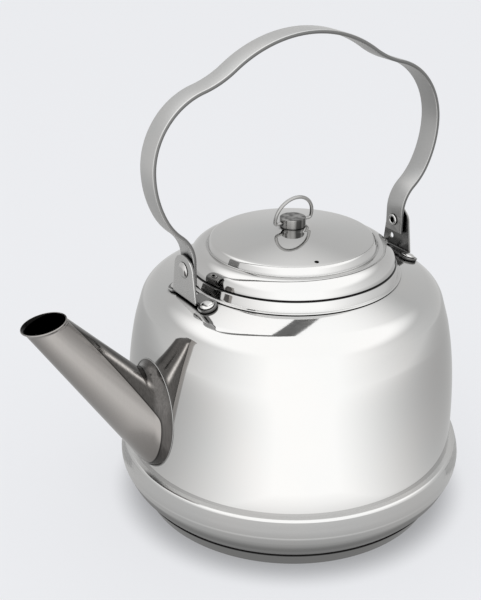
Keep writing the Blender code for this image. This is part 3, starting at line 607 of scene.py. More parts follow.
def held_end(end, beside):
    """A point close to the end of a line, which keeps the shading of the edge off the long face beside it."""
    return end + (beside - end) * min(0.5, EDGE_HOLD / (beside - end).length)


def sheet(line, wall=SHEET):
    """The closed section of a sheet whose visible side is the line."""
    line = [line[0], held_end(line[0], line[1]), *line[1:-1], held_end(line[-1], line[-2]), line[-1]]
    inner = shifted(line, wall)
    if line[0].x < GAP:
        inner[0].x = 0
    if line[-1].x < GAP:
        inner[-1].x = 0
    section = list(line)
    if line[-1].x > GAP:
        section += edge_round(line[-1], inner[-1], line[-1] - line[-2])
    section += reversed(inner)
    if line[0].x > GAP:
        section += edge_round(inner[0], line[0], line[0] - line[1])
    return section

# %% [markdown]
# Turning a section
#
# `turned` spins a section about the Z axis with bmesh, merges the last row with the first one
# and turns all faces outwards. A piece that is turned about another axis is made about Z first
# and then its vertices are moved, so that each object stays at the origin.

# %% Turning
BODY_STEPS = 192
SMALL_STEPS = 64
DRILL_STEPS = 48
SHARP = math.radians(38)
WELD = 1e-6               # points nearer than this are one point
SLIVER = 1e-7
BEVEL_STEPS = 3
BEVEL_FROM = math.radians(60)  # a sheet's edges turn by more than this


def object_from(bm, name):
    """A smooth-shaded object from a finished bmesh."""
    mesh = bpy.data.meshes.new(name)
    bm.to_mesh(mesh)
    bm.free()
    mesh.shade_smooth()
    mesh.set_sharp_from_angle(angle=SHARP)
    return placed(name, mesh)


def turned(name, section, steps=BODY_STEPS):
    """A piece turned about the Z axis from a closed section of (r, z) points."""
    bm = bmesh.new()
    verts = [bm.verts.new((point.x, 0, point.y)) for point in section]
    edges = [bm.edges.new(pair) for pair in zip(verts, verts[1:])]
    if not (section[0].x < GAP and section[-1].x < GAP):
        edges.append(bm.edges.new((verts[-1], verts[0])))
    bmesh.ops.spin(bm, geom=verts + edges, cent=(0, 0, 0), axis=(0, 0, 1), angle=2 * math.pi,
                   steps=steps, use_merge=True)
    bmesh.ops.remove_doubles(bm, verts=bm.verts, dist=WELD)
    bmesh.ops.dissolve_degenerate(bm, dist=SLIVER, edges=bm.edges)
    bmesh.ops.recalc_face_normals(bm, faces=bm.faces)
    return object_from(bm, name)


def evaluated_mesh(piece):
    """A plain mesh of what a piece's modifiers make of it."""
    bpy.context.view_layer.update()
    graph = bpy.context.evaluated_depsgraph_get()
    return bpy.data.meshes.new_from_object(piece.evaluated_get(graph))


def settle(piece):
    """Replace a piece's mesh by what its modifiers make of it."""
    mesh = evaluated_mesh(piece)
    piece.modifiers.clear()
    piece.data = mesh
    mesh.name = piece.name
    mesh.shade_smooth()
    mesh.set_sharp_from_angle(angle=SHARP)


def walled(piece, thickness, edge):
    """Give a bent sheet its thickness, inwards, and round its edges."""
    thick = piece.modifiers.new("wall", "SOLIDIFY")
    thick.thickness = thickness
    thick.offset = -1
    thick.use_even_offset = True
    soft = piece.modifiers.new("edges", "BEVEL")
    soft.width = edge
    soft.segments = BEVEL_STEPS
    soft.limit_method = "ANGLE"
    soft.angle_limit = BEVEL_FROM
    settle(piece)


def pierce(piece, *tools):
    """Cut each tool's shape out of the piece, and delete the tools."""
    for tool in tools:
        cut = piece.modifiers.new(tool.name, "BOOLEAN")
        cut.operation = "DIFFERENCE"
        cut.object = tool
    settle(piece)
    for tool in tools:
        bpy.data.objects.remove(tool)


def drill(radius, start, end):
    """A round tool from one point to another."""
    start, end = Vector(start), Vector(end)
    bm = bmesh.new()
    bmesh.ops.create_cone(bm, cap_ends=True, segments=DRILL_STEPS, radius1=radius, radius2=radius,
                          depth=(end - start).length)
    tool = object_from(bm, "drill")
    tool.data.transform(Matrix.Translation((start + end) / 2)
                        @ (end - start).to_track_quat("Z", "Y").to_matrix().to_4x4())
    return tool


def dress(piece, material, slot, body, *nodes):
    """Give a finished piece its steel, and let it stand for CAD nodes on a body."""
    piece.data.materials.clear()
    piece.data.materials.append(material)
    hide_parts(*nodes)
    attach(piece, body)
    low, high = (Vector(corner) * 1000 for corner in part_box(nodes[0]))
    mine = [piece.matrix_world @ vert.co * 1000 for vert in piece.data.vertices]
    spread = [max(v[i] for v in mine) - min(v[i] for v in mine) for i in range(3)]
    print(piece.name, "is", [round(s, 1) for s in spread], "mm, its node",
          [round(s, 1) for s in high - low], "mm,", len(piece.data.polygons), "faces")

# %% [markdown]
# Base pan
#
# The bottom of the kettle is one pressing. It starts as a flat disc, turns up into a slanted
# ring, steps in at a dark seam, flares out to the bead and rolls in to take the wall. The bead
# is what the light reads: each of its slopes mirrors another part of the floor, so its small
# radii decide where the bright lines fall.

# %% Base pan
BASE_R = 0.1032
BASE_EDGE = 0.0006
RING_TOP_R = 0.1094
RING_TOP_Z = 0.0108
RING_ROUND = 0.0004
SEAM_DEPTH = 0.0011
SEAM_HEIGHT = 0.0009
SEAM_ROUND = 0.0002
FLARE_R = 0.1153           # where the bead's underside gets steeper
FLARE_Z = 0.0189
FLARE_ROUND = 0.0080
BEAD_R = 0.1216            # where the underside and the bead's side would meet
BEAD_Z = 0.0323
BEAD_ROUND = 0.0170
LEDGE_R = 0.1180           # where the bead turns in to the wall
LEDGE_Z = 0.0447
LEDGE_ROUND = 0.0022
CREASE_Z = 0.0450          # the wall rises out of the bead here
CREASE_ROUND = 0.0002
LIP_HEIGHT = 0.0045
LIP_SINK = 0.0003          # the wall covers the pan's lip, so that no edge shows above the bead
WALL_R = 0.1138

pan_line = rounded([
    (0, 0, 0),
    (BASE_R, 0, BASE_EDGE),
    (RING_TOP_R, RING_TOP_Z, RING_ROUND),
    (RING_TOP_R - SEAM_DEPTH, RING_TOP_Z + SEAM_HEIGHT / 2, SEAM_ROUND),
    (RING_TOP_R, RING_TOP_Z + SEAM_HEIGHT, RING_ROUND),
    (FLARE_R, FLARE_Z, FLARE_ROUND),
    (BEAD_R, BEAD_Z, BEAD_ROUND),
    (LEDGE_R, LEDGE_Z, LEDGE_ROUND),
    (WALL_R - LIP_SINK, CREASE_Z, CREASE_ROUND),
    (WALL_R - LIP_SINK, CREASE_Z + LIP_HEIGHT, 0),
])
base_pan = turned("base_pan_turned", sheet(pan_line))
dress(base_pan, pan_steel, "polished_steel", "kettle", "base_pan")

# %% [markdown]
# Wall and shoulder
#
# The wall rises nearly straight and draws in late, which a power of the height describes
# better than an arc would. A large round leads into the slope of the shoulder, and the neck
# is cut out of its middle.

# %% Wall and shoulder
SHOULDER_R = 0.1000
SHOULDER_Z = 0.1579
SHOULDER_ROUND = 0.0180
SHOULDER_SLOPE = math.radians(16.8)
WALL_POWER = 2.75
WALL_TURN_Z = 0.0513       # the wall is straight up to here
WALL_ROWS = 32
WALL_ROW = 0.025           # height of a row, as a share of the height up to the shoulder
LAP = 0.0050               # length of wall inside the bead
NECK_R = 0.0615


def wall_r(z):
    """The wall's outer radius below the shoulder."""
    share = max(0, z - WALL_TURN_Z) / (SHOULDER_Z - WALL_TURN_Z)
    return WALL_R - (WALL_R - SHOULDER_R) * share ** WALL_POWER


wall = [(WALL_R, CREASE_Z - LAP, 0)]
for k in range(WALL_ROWS):
    z = WALL_TURN_Z + (SHOULDER_Z - WALL_TURN_Z) * WALL_ROW * k
    wall.append((wall_r(z), z, 0))
mouth_r = NECK_R + 2 * SHEET + GAP
mouth_z = SHOULDER_Z + (SHOULDER_R - mouth_r) * math.tan(SHOULDER_SLOPE)
shell_line = rounded(wall + [(SHOULDER_R, SHOULDER_Z, SHOULDER_ROUND), (mouth_r, mouth_z, 0)])
body_shell = turned("body_wall_turned", sheet(shell_line))

# %% [markdown]
# Where another piece meets the body
#
# Brackets, rivets and the spout all stand on the shell, so they ask it for its surface. Two
# small functions answer: the outer radius at a height, and the point above the shoulder.

# %% Asking the body's surface
def crossing(line, value, axis):
    """The point of the line where r (axis 0) or z (axis 1) takes a value, and the direction there."""
    for a, b in zip(line, line[1:]):
        low, high = sorted((a[axis], b[axis]))
        if low <= value <= high and high > low:
            share = (value - a[axis]) / (b[axis] - a[axis])
            return a.lerp(b, share), (b - a).normalized()
    raise ValueError("the line does not reach this value")


def on_shoulder(x, y, lift):
    """The point a lift above the shoulder over (x, y), and the shoulder's normal there."""
    top = [point for point in shell_line if point.y > SHOULDER_Z - SHOULDER_ROUND]
    point, direction = crossing(top, math.hypot(x, y), 0)
    out = Vector((x, y, 0)).normalized()
    normal = out * direction.y - Vector((0, 0, 1)) * direction.x
    return Vector((x, y, point.y)) + normal * lift, normal

# %% [markdown]
# Spout
#
# The spout is a straight cone that flares where it meets the wall. A loft makes it: one run of
# points for each direction round the cone, from the rolled lip down to the seam. The foot of
# each run bends away from the cone's line on a quadratic curve, so the cone and the flare meet
# without a crease. The seam is an upright oval laid on the wall. Two numbers are stored on each
# point for the spout's steel: how far it is past the edge of the light side into the painted dark
# reflection, and the painted highlight streak.

# %% Spout
MOUTH = Vector((-0.1812, 0, 0.1713))
MOUTH_R = 0.01175
MOUTH_TILT = math.radians(8.9)
MOUTH_LIP = 0.0012
MOUTH_LIP_LENGTH = 0.0034
SPOUT_DROP = math.radians(50.9)
SPOUT_GROWTH = 0.1022
SPOUT_SHEET = 0.0009
SPOUT_EDGE = 0.4 * SPOUT_SHEET
SEAM_HALF_WIDTH = 0.0279
SEAM_TOP_Z = 0.1262
SEAM_BOTTOM_Z = 0.0511
FLARE_LENGTH = 0.0140
FLARE_HOLD = 0.0040
SPOUT_STEPS = 128
LIP_ROWS = 5
TUBE_ROWS = 10
FLARE_ROWS = 16
SPOUT_SINK = 0.0004        # the seam's edge goes this far into the wall
FOOT_DARK = 0.0048         # nearer to the wall than this the foot gets the same painted dark reflection as the upper side
FOOT_STEP = 60             # how steeply it gets dark there, for each metre
FOOT_TURN = 0.10           # how softly the edge turns down along the foot
EDGE_LOW = 0.15            # where the upper side starts at the foot, with 1 on the spout's top line
EDGE_RISE = 11.8           # and how much higher it starts for each metre from the wall
STREAK_START = 0.0420      # the painted highlight streak fades out this far from the wall
STREAK_LIGHT = 2.2
STREAK_AT = 0.775          # where the streak runs, with 1 on the spout's top line
STREAK_WIDE = 0.050
INWARDS = 0.3              # a normal that points inwards by more than this is inside the spout
INSIDE_SIDE = 0.5          # which is painted dark everywhere, as shade
DARKEST_SIDE = 0.4


def spout_ray(angle):
    """The start and directions of the cone's line at an angle round the spout, 0 on its upper side."""
    axis = Vector((math.cos(SPOUT_DROP), 0, -math.sin(SPOUT_DROP)))
    up = Vector((math.sin(SPOUT_DROP), 0, math.cos(SPOUT_DROP)))
    out = up * math.cos(angle) + Vector((0, 1, 0)) * math.sin(angle)
    return MOUTH + out * MOUTH_R, axis + out * SPOUT_GROWTH, out


def meets_body(start, ray):
    """How far along its line the cone reaches the body."""
    near, far = 0, 2 * WALL_R
    while far - near > WELD:
        middle = (near + far) / 2
        point = start + ray * middle
        if point.z < CREASE_Z or point.z < SHOULDER_Z and math.hypot(point.x, point.y) < wall_r(point.z):
            far = middle
        else:
            near = middle
    return near


def seam_point(angle):
    """A point of the oval seam on the wall."""
    z = (SEAM_TOP_Z + SEAM_BOTTOM_Z) / 2 + (SEAM_TOP_Z - SEAM_BOTTOM_Z) / 2 * math.cos(angle)
    y = SEAM_HALF_WIDTH * math.sin(angle)
    return Vector((-math.sqrt(wall_r(z) ** 2 - y ** 2), y, z))


def spout_run(angle):
    """The outer points of the spout along one of its lines, from the lip to the seam."""
    start, ray, out = spout_ray(angle)
    slope = Vector((-math.sin(MOUTH_TILT), 0, math.cos(MOUTH_TILT)))
    mouth = start + ray * (slope.dot(MOUTH - start) / slope.dot(ray))
    reach = meets_body(start, ray)
    seam = seam_point(angle)
    flare = start + ray * (reach - FLARE_LENGTH)
    hold = start + ray * (reach - FLARE_HOLD)
    run = []
    for k in range(LIP_ROWS):
        share = k / LIP_ROWS
        run.append(mouth + ray * MOUTH_LIP_LENGTH * share + out * MOUTH_LIP * (1 - share) ** 2)
    for k in range(TUBE_ROWS):
        run.append((mouth + ray * MOUTH_LIP_LENGTH).lerp(flare, k / TUBE_ROWS))
    for k in range(FLARE_ROWS + 1):
        t = k / FLARE_ROWS
        run.append(flare * (1 - t) ** 2 + hold * 2 * t * (1 - t) + seam * t ** 2)
    run.append(seam + (seam - hold).normalized() * SPOUT_SINK)
    return run


def smooth(value, start, end):
    """A smooth step between two values, for numbers."""
    share = min(max((value - start) / (end - start), 0), 1)
    return share * share * (3 - 2 * share)


def spout_painted_reflection(vert):
    """How far a point of the spout is past the edge of its light side into the painted dark reflection, and
    how much painted highlight streak is on it.
    """
    point = vert.co
    up = Vector((math.sin(SPOUT_DROP), 0, math.cos(SPOUT_DROP)))
    lift = (point - MOUTH).dot(up)
    share = lift / max(math.hypot(lift, point.y), GAP)
    # inside the spout: painted shade, dark everywhere
    if vert.normal.dot(up * lift + Vector((0, point.y, 0))) < -INWARDS * math.hypot(lift, point.y):
        return INSIDE_SIDE, 0
    near = math.hypot(point.x, point.y) - wall_r(point.z)
    edge = EDGE_LOW + EDGE_RISE * (near - FOOT_DARK)
    across, down = share - edge, (FOOT_DARK - near) * FOOT_STEP
    side = min((across + down + math.hypot(across - down, FOOT_TURN)) / 2, DARKEST_SIDE)
    # a painted highlight streak along the upper side
    shine = STREAK_LIGHT * math.exp(-((share - STREAK_AT) / STREAK_WIDE) ** 2)
    shine *= smooth(near, FOOT_DARK, 2 * FOOT_DARK) * (1 - smooth(near, STREAK_START, 1.3 * STREAK_START))
    return side, shine


bm = bmesh.new()
grid = [[bm.verts.new(point) for point in spout_run(2 * math.pi * k / SPOUT_STEPS)]
        for k in range(SPOUT_STEPS)]
for here, beside in zip(grid, grid[1:] + grid[:1]):
    for i in range(len(here) - 1):
        bm.faces.new((here[i], here[i + 1], beside[i + 1], beside[i]))
spout = object_from(bm, "spout_lofted")
walled(spout, SPOUT_SHEET, SPOUT_EDGE)
# store the painted dark reflection and the painted highlight on each point of the spout
both = [spout_painted_reflection(vert) for vert in spout.data.vertices]
for k, name in enumerate(("side", "shine")):
    spout.data.attributes.new(name, "FLOAT", "POINT").data.foreach_set("value", [pair[k] for pair in both])
dress(spout, spout_steel, "polished_steel", "kettle", "spout_tube")

# %% [markdown]
# The seam of the spout
#
# Where the flare meets the wall, the welded joint is dressed down to a fine bead. It follows
# the same oval, so a short Geometry Nodes tree sweeps a round wire along the seam. The same tree
# serves the knob's ring: it takes a path and the radius.

# %% A tree that sweeps a wire
def new_tree(name, sizes):
    """A Geometry Nodes tree with a geometry input, an output and named float inputs."""
    tree = bpy.data.node_groups.new(name, "GeometryNodeTree")
    tree.interface.new_socket("Geometry", in_out="INPUT", socket_type="NodeSocketGeometry")
    tree.interface.new_socket("Geometry", in_out="OUTPUT", socket_type="NodeSocketGeometry")
    for size in sizes:
        tree.interface.new_socket(size, in_out="INPUT", socket_type="NodeSocketFloat")
    tree.interface.new_socket("Material", in_out="INPUT", socket_type="NodeSocketMaterial")
    return tree, add_node(tree, "NodeGroupInput").outputs


def close_tree(tree, geometry, given):
    """End a tree with real geometry, smooth shading and the steel that it was given."""
    smooth = add_node(tree, "GeometryNodeSetShadeSmooth", {"Geometry": geometry})
    real = add_node(tree, "GeometryNodeRealizeInstances", {"Geometry": smooth.outputs[0]})
    finish = add_node(tree, "GeometryNodeSetMaterial", {"Geometry": real.outputs[0],
                                                        "Material": given["Material"]})
    add_node(tree, "NodeGroupOutput", {"Geometry": finish.outputs[0]})


def run_tree(piece, tree, **values):
    """Apply a tree to an object and return a plain mesh object of the same name."""
    modifier = piece.modifiers.new(tree.name, "NODES")
    modifier.node_group = tree
    for item in tree.interface.items_tree:
        if item.in_out == "INPUT" and item.name in values:
            modifier[item.identifier] = values[item.name]
    mesh = evaluated_mesh(piece)
    name = piece.name
    bpy.data.objects.remove(piece)
    bm = bmesh.new()
    bm.from_mesh(mesh)
    bmesh.ops.remove_doubles(bm, verts=bm.verts, dist=SLIVER)
    bmesh.ops.recalc_face_normals(bm, faces=bm.faces)
    bm.to_mesh(mesh)
    bm.free()
    mesh.name = name
    mesh.shade_smooth()
    mesh.set_sharp_from_angle(angle=SHARP)
    return placed(name, mesh)


def path(name, points, closed=False):
    """A curve object through points."""
    curve = bpy.data.curves.new(name, "CURVE")
    curve.dimensions = "3D"
    spline = curve.splines.new("POLY")
    spline.points.add(len(points) - 1)
    for point, place in zip(spline.points, points):
        point.co = (*place, 1)
    spline.use_cyclic_u = closed
    return placed(name, curve)


WIRE_SIDES = 16

wire_tree, given = new_tree("sweep_wire", ["Wire Radius"])
round_wire = add_node(wire_tree, "GeometryNodeCurvePrimitiveCircle",
                      {"Resolution": WIRE_SIDES, "Radius": given["Wire Radius"]})
swept = add_node(wire_tree, "GeometryNodeCurveToMesh",
                 {"Curve": given["Geometry"], "Profile Curve": round_wire.outputs[0], "Fill Caps": True})
close_tree(wire_tree, swept.outputs[0], given)

# %% Spout seam
SEAM_WIRE_R = 0.00045

seam_path = path("spout_seam", [seam_point(2 * math.pi * k / SPOUT_STEPS) for k in range(SPOUT_STEPS)], True)
spout_seam = run_tree(seam_path, wire_tree, **{"Wire Radius": SEAM_WIRE_R, "Material": ring_steel})
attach(spout_seam, "kettle")
print("spout seam:", len(spout_seam.data.polygons), "faces")

# %% [markdown]
# Handle
#
# The handle is a flat steel strap, bent cold along a row of arcs: a low arch where the hand
# holds it, a dip on each side, a wide bow, and an S that brings each end upright to its pivot.
# Each bend is given by its radius and by the slope at its end. The arch has no radius of its
# own, because it has to close the strap on the two pivots. A sweep then carries the rounded
# section of the strap along that line. The tree also stores the length along the strap and the
# length round its section, which the brushed finish follows.

# %% The strap's line
PIVOT_Z = 0.1847
HALF_SPAN = 0.0840
STRAP_WIDTH = 0.0166
STRAP_THICK = 0.0026
STRAP_EDGE = 0.0007
STRAP_TAIL = 0.0084
STRAP_RISE = 0.0065
ARCH_END = math.radians(35)
STRAP_BENDS = [            # radius, slope at the start and slope at the end, from the arch down
    (0.0700, 35, 15),
    (0.0475, 15, 90),
    (0.0660, 90, 118),
    (0.0420, 118, 140),
    (0.0245, 140, 90),
]
BEND_STEP = math.radians(1.5)


def bend(start, heading, radius, end_heading):
    """Points along an arc of the strap; headings are angles below horizontal."""
    turn = end_heading - heading
    steps = max(1, math.ceil(abs(turn) / BEND_STEP))
    step = turn / steps
    chord = 2 * radius * math.sin(abs(step) / 2)
    points = []
    for k in range(steps):
        angle = heading + step * (k + 0.5)
        start = start + Vector((math.cos(angle), -math.sin(angle))) * chord
        points.append(start)
    return points


half = [Vector((0, 0))]
for radius, begin, end in STRAP_BENDS:
    half += bend(half[-1], math.radians(begin), radius, math.radians(end))
arch_r = (HALF_SPAN - half[-1].x) / math.sin(ARCH_END)
arch = [Vector((0, 0))] + bend(Vector((0, 0)), 0, arch_r, ARCH_END)
half = arch + [arch[-1] + point for point in half[1:]]
drop = Vector((0, PIVOT_Z + STRAP_RISE - half[-1].y))
half = [point + drop for point in half]
half += [Vector((half[-1].x, PIVOT_Z + STRAP_RISE * 0.5)), Vector((half[-1].x, PIVOT_Z)),
         Vector((half[-1].x, PIVOT_Z - STRAP_TAIL))]
strap_line = [Vector((-point.x, point.y)) for point in reversed(half[1:])] + half
print("arch radius and top in mm:", round(arch_r * 1000, 1), round(half[0].y * 1000, 1))

# %% A tree that sweeps the strap
strap_tree, given = new_tree("sweep_strap", ["Width", "Thickness", "Edge Radius"])
flat_bar = add_node(strap_tree, "GeometryNodeCurvePrimitiveQuadrilateral",
                    {"Width": given["Width"], "Height": given["Thickness"]})
soft_bar = add_node(strap_tree, "GeometryNodeFilletCurve",
                    {"Curve": flat_bar.outputs[0], "Radius": given["Edge Radius"], "Count": 4}, mode="POLY")
on_bar = add_node(strap_tree, "GeometryNodeSplineParameter")
bar = add_node(strap_tree, "GeometryNodeStoreNamedAttribute",
               {"Geometry": soft_bar.outputs[0], "Name": "across", "Value": on_bar.outputs["Length"]},
               data_type="FLOAT", domain="POINT")
on_path = add_node(strap_tree, "GeometryNodeSplineParameter")
rail = add_node(strap_tree, "GeometryNodeStoreNamedAttribute",
                {"Geometry": given["Geometry"], "Name": "along", "Value": on_path.outputs["Length"]},
                data_type="FLOAT", domain="POINT")
level = add_node(strap_tree, "GeometryNodeSetCurveNormal",
                 {"Curve": rail.outputs[0], "Normal": (0.0, 1.0, 0.0)}, mode="FREE")
swept = add_node(strap_tree, "GeometryNodeCurveToMesh",
                 {"Curve": level.outputs[0], "Profile Curve": bar.outputs[0], "Fill Caps": True})
close_tree(strap_tree, swept.outputs[0], given)

# %% Handle strap
PIVOT_SHANK_R = 0.0029

strap_path = path("handle_strap_swept", [(HANDLE_X + point.x, 0, point.y) for point in strap_line])
handle = run_tree(strap_path, strap_tree, **{"Width": STRAP_WIDTH, "Thickness": STRAP_THICK,
                                             "Edge Radius": STRAP_EDGE, "Material": brushed_steel})
pierce(handle, drill(PIVOT_SHANK_R + GAP, (-2 * HALF_SPAN, 0, PIVOT_Z), (2 * HALF_SPAN, 0, PIVOT_Z)))
dress(handle, brushed_steel, "brushed_steel", "handle", "handle_strap")

# %% [markdown]
# Brackets
#
# Each end of the strap turns in a bracket, pressed from a flat blank: a tall plate with a
# round top, and a foot with two lobes that is folded over and riveted to the shoulder. The
# blank is drawn flat, sliced into a fine grid so that it can bend, and then each of its points
# is mapped: upright above the fold, round an arc in the fold, and onto the shoulder beyond it.

# %% Bracket blank
BRACKET_THICK = 0.0016
FOOT_SEAT = 0.00045
WASHER_THICK = 0.0005
WASHER_R = 0.0062
PLATE_HALF = 0.0114
PLATE_TOP = 0.0098
PLATE_FOOT_HALF = 0.0143
FOLD = 0.0034
RELIEF = 0.0006
FOOT_DEPTH = 0.0106
FOOT_RIVET_Y = 0.0188
FOOT_RIVET_IN = 0.0066
LOBE_R = 0.0062
LOBE_END = math.radians(130)
NOTCH_R = 0.0032
NOTCH_DEPTH = 0.0062
BRACKET_EDGE = 0.0004
BLANK_GRID = 0.0011
GRID_ROWS = range(-14, 30)
GRID_COLUMNS = range(-23, 24)
BLANK_WELD = 0.00002

washer_at = HALF_SPAN + STRAP_THICK / 2 + GAP
plate_at = washer_at + WASHER_THICK + GAP
plate_out = plate_at + BRACKET_THICK


def arc(centre, rx, ry, start, end, steps):
    """Points on an arc of an ellipse."""
    angles = [start + (end - start) * k / steps for k in range(steps + 1)]
    return [Vector((centre[0] + rx * math.cos(a), centre[1] + ry * math.sin(a))) for a in angles]


def half_outline(fold_z):
    """Half of the bracket's flat blank, from the top of the plate to the middle of the notch."""
    points = arc((0, PIVOT_Z - fold_z), PLATE_HALF, PLATE_TOP, math.pi / 2, 0, 16)
    points += [Vector((PLATE_FOOT_HALF, FOLD)), Vector((PLATE_FOOT_HALF, -FOLD)),
               Vector((PLATE_FOOT_HALF + RELIEF, -FOLD))]
    start = math.acos((PLATE_FOOT_HALF + RELIEF - FOOT_RIVET_Y) / LOBE_R)
    points += arc((FOOT_RIVET_Y, -FOOT_RIVET_IN), LOBE_R, LOBE_R, start, -LOBE_END, 24)
    points.append(Vector((NOTCH_R * 1.2, -FOOT_DEPTH)))
    points += arc((0, -NOTCH_DEPTH - NOTCH_R * 0.3), NOTCH_R, NOTCH_R, 0, math.pi / 2, 8)
    return points


def folded(corner, foot, share):
    """A point on the fold, from the upright plate (share 0) to the foot (share 1)."""
    up = Vector((0, 0, 1))
    along = (foot - corner).normalized()
    half_angle = up.angle(along) / 2
    centre = corner + (up + along).normalized() * FOLD / math.cos(half_angle)
    first = corner + up * FOLD - centre
    last = corner + along * FOLD - centre
    turn = Matrix.Rotation((math.pi - 2 * half_angle) * share, 3, first.cross(last))
    return centre + turn @ first


def bracket(name, side):
    """A bracket folded from its blank; side is -1 in front and 1 behind."""
    plate_x = HANDLE_X + side * plate_out
    fold_z = on_shoulder(plate_x, 0, FOOT_SEAT)[0].z
    half_line = half_outline(fold_z)
    outline = half_line + [Vector((-point.x, point.y)) for point in reversed(half_line[1:-1])]
    bm = bmesh.new()
    bm.faces.new([bm.verts.new((point.x, point.y, 0)) for point in outline])
    lines = [((0, k * BLANK_GRID, 0), (0, 1, 0)) for k in GRID_ROWS]
    lines += [((k * BLANK_GRID, 0, 0), (1, 0, 0)) for k in GRID_COLUMNS]
    lines += [((0, side_of * FOLD, 0), (0, 1, 0)) for side_of in (-1, 1)]
    for point, normal in lines:
        bmesh.ops.bisect_plane(bm, geom=bm.verts[:] + bm.edges[:] + bm.faces[:],
                               plane_co=point, plane_no=normal, dist=GAP / 100)
    bmesh.ops.remove_doubles(bm, verts=bm.verts, dist=BLANK_WELD)
    for vert in bm.verts:
        y, up = vert.co.x, vert.co.y
        if up >= FOLD:
            vert.co = (plate_x, y, fold_z + up)
        elif up <= -FOLD or abs(y) > PLATE_FOOT_HALF + RELIEF / 2:
            vert.co = on_shoulder(plate_x + side * up, y, FOOT_SEAT)[0]
        else:
            foot = on_shoulder(plate_x - side * FOLD, y, FOOT_SEAT)[0]
            vert.co = folded(Vector((plate_x, y, fold_z)), foot, (FOLD - up) / (2 * FOLD))
    bm.normal_update()
    top = max(bm.faces, key=lambda face: face.calc_center_median().z)
    if top.normal.x * side < 0:
        bmesh.ops.reverse_faces(bm, faces=bm.faces)
    piece = object_from(bm, name)
    walled(piece, BRACKET_THICK, BRACKET_EDGE)
    return piece

# %% Brackets
SPARE_HOLE_R = 0.0021
SPARE_HOLE_Y = 0.0055
SPARE_HOLE_Z = 0.1703

for name, side in (("front_bracket", -1), ("rear_bracket", 1)):
    piece = bracket(name + "_folded", side)
    outside = HANDLE_X + side * (plate_out + 0.004)
    inside = HANDLE_X + side * (plate_at - 0.002)
    tools = [drill(PIVOT_SHANK_R + GAP, (inside, 0, PIVOT_Z), (outside, 0, PIVOT_Z))]
    if side > 0:
        tools.append(drill(SPARE_HOLE_R, (inside, SPARE_HOLE_Y, SPARE_HOLE_Z),
                           (outside, SPARE_HOLE_Y, SPARE_HOLE_Z)))
    pierce(piece, *tools)
    dress(piece, pressed_steel, "brushed_steel", "kettle", name)

# %% [markdown]
# Rivets
#
# Four alike rivets hold the two feet. A Geometry Nodes tree sets them: it lays four points in
# a grid over the shoulder, drops each onto the shell with a raycast, stands a rivet on it along
# the surface normal, and makes the copies real. When the bracket moves, the rivets follow.

# %% Foot rivets
FOOT_SHANK_R = 0.0019
FOOT_HEAD_R = 0.0047
FOOT_HEAD = 0.0015
FOOT_TAIL_R = 0.0033
FOOT_TAIL = 0.0011
RIVET_STEPS = 48
HEAD_ROUND = 0.9          # radius of a domed head's round, as a share of the head's radius
HEAD_RIM = 0.0004
HEAD_TAPER = 0.0001
DROP_FROM = 0.05          # the raycast starts this far above the pivots
DROP_LENGTH = 0.2


def domed_head(radius, height, seat, flat, rim):
    """Corners of a rivet's head, from the middle of its dome to its underside."""
    return [(0, seat + height, 0), (radius * flat, seat + height, radius * HEAD_ROUND),
            (radius, seat + height * rim, HEAD_RIM), (radius - HEAD_TAPER, seat, 0)]


seat = FOOT_SEAT + BRACKET_THICK + GAP / 2
tail = -SHEET - FOOT_SEAT
rivet_blank = turned("rivet_blank", rounded([
    *domed_head(FOOT_HEAD_R, FOOT_HEAD, seat, 0.72, 0.25),
    (FOOT_SHANK_R, seat, 0),
    (FOOT_SHANK_R, tail, 0),
    (FOOT_TAIL_R, tail, 0.0002),
    (FOOT_TAIL_R * 0.85, tail - FOOT_TAIL, 0.0004),
    (0, tail - FOOT_TAIL, 0),
]), RIVET_STEPS)

rivet_tree, given = new_tree("set_rivets", ["Front To Rear", "Left To Right", "Middle", "Above"])
rivet_tree.interface.new_socket("Rivet", in_out="INPUT", socket_type="NodeSocketObject")
over = add_node(rivet_tree, "GeometryNodeMeshGrid", {"Size X": given["Front To Rear"],
                                                     "Size Y": given["Left To Right"],
                                                     "Vertices X": 2, "Vertices Y": 2})
middle = add_node(rivet_tree, "ShaderNodeCombineXYZ", {"X": given["Middle"], "Z": given["Above"]})
moved = add_node(rivet_tree, "GeometryNodeTransform", {"Geometry": over.outputs[0],
                                                       "Translation": middle.outputs[0]})
ray = add_node(rivet_tree, "GeometryNodeRaycast", {"Target Geometry": given["Geometry"],
                                                   "Ray Direction": (0.0, 0.0, -1.0),
                                                   "Ray Length": DROP_LENGTH})
landed = add_node(rivet_tree, "GeometryNodeSetPosition", {"Position": ray.outputs["Hit Position"]})
# The normal is kept before the points move, because the ray starts anew from where they are
held = add_node(rivet_tree, "GeometryNodeCaptureAttribute", {"Geometry": moved.outputs[0]})
held.capture_items.new("VECTOR", "Normal")
rivet_tree.links.new(ray.outputs["Hit Normal"], held.inputs["Normal"])
rivet_tree.links.new(held.outputs["Geometry"], landed.inputs["Geometry"])
upright = add_node(rivet_tree, "FunctionNodeAlignRotationToVector",
                   {"Vector": held.outputs["Normal"]}, axis="Z")
one = add_node(rivet_tree, "GeometryNodeObjectInfo", {"Object": given["Rivet"]})
copies = add_node(rivet_tree, "GeometryNodeInstanceOnPoints", {"Points": landed.outputs[0],
                                                               "Instance": one.outputs["Geometry"],
                                                               "Rotation": upright.outputs[0]})
close_tree(rivet_tree, copies.outputs[0], given)

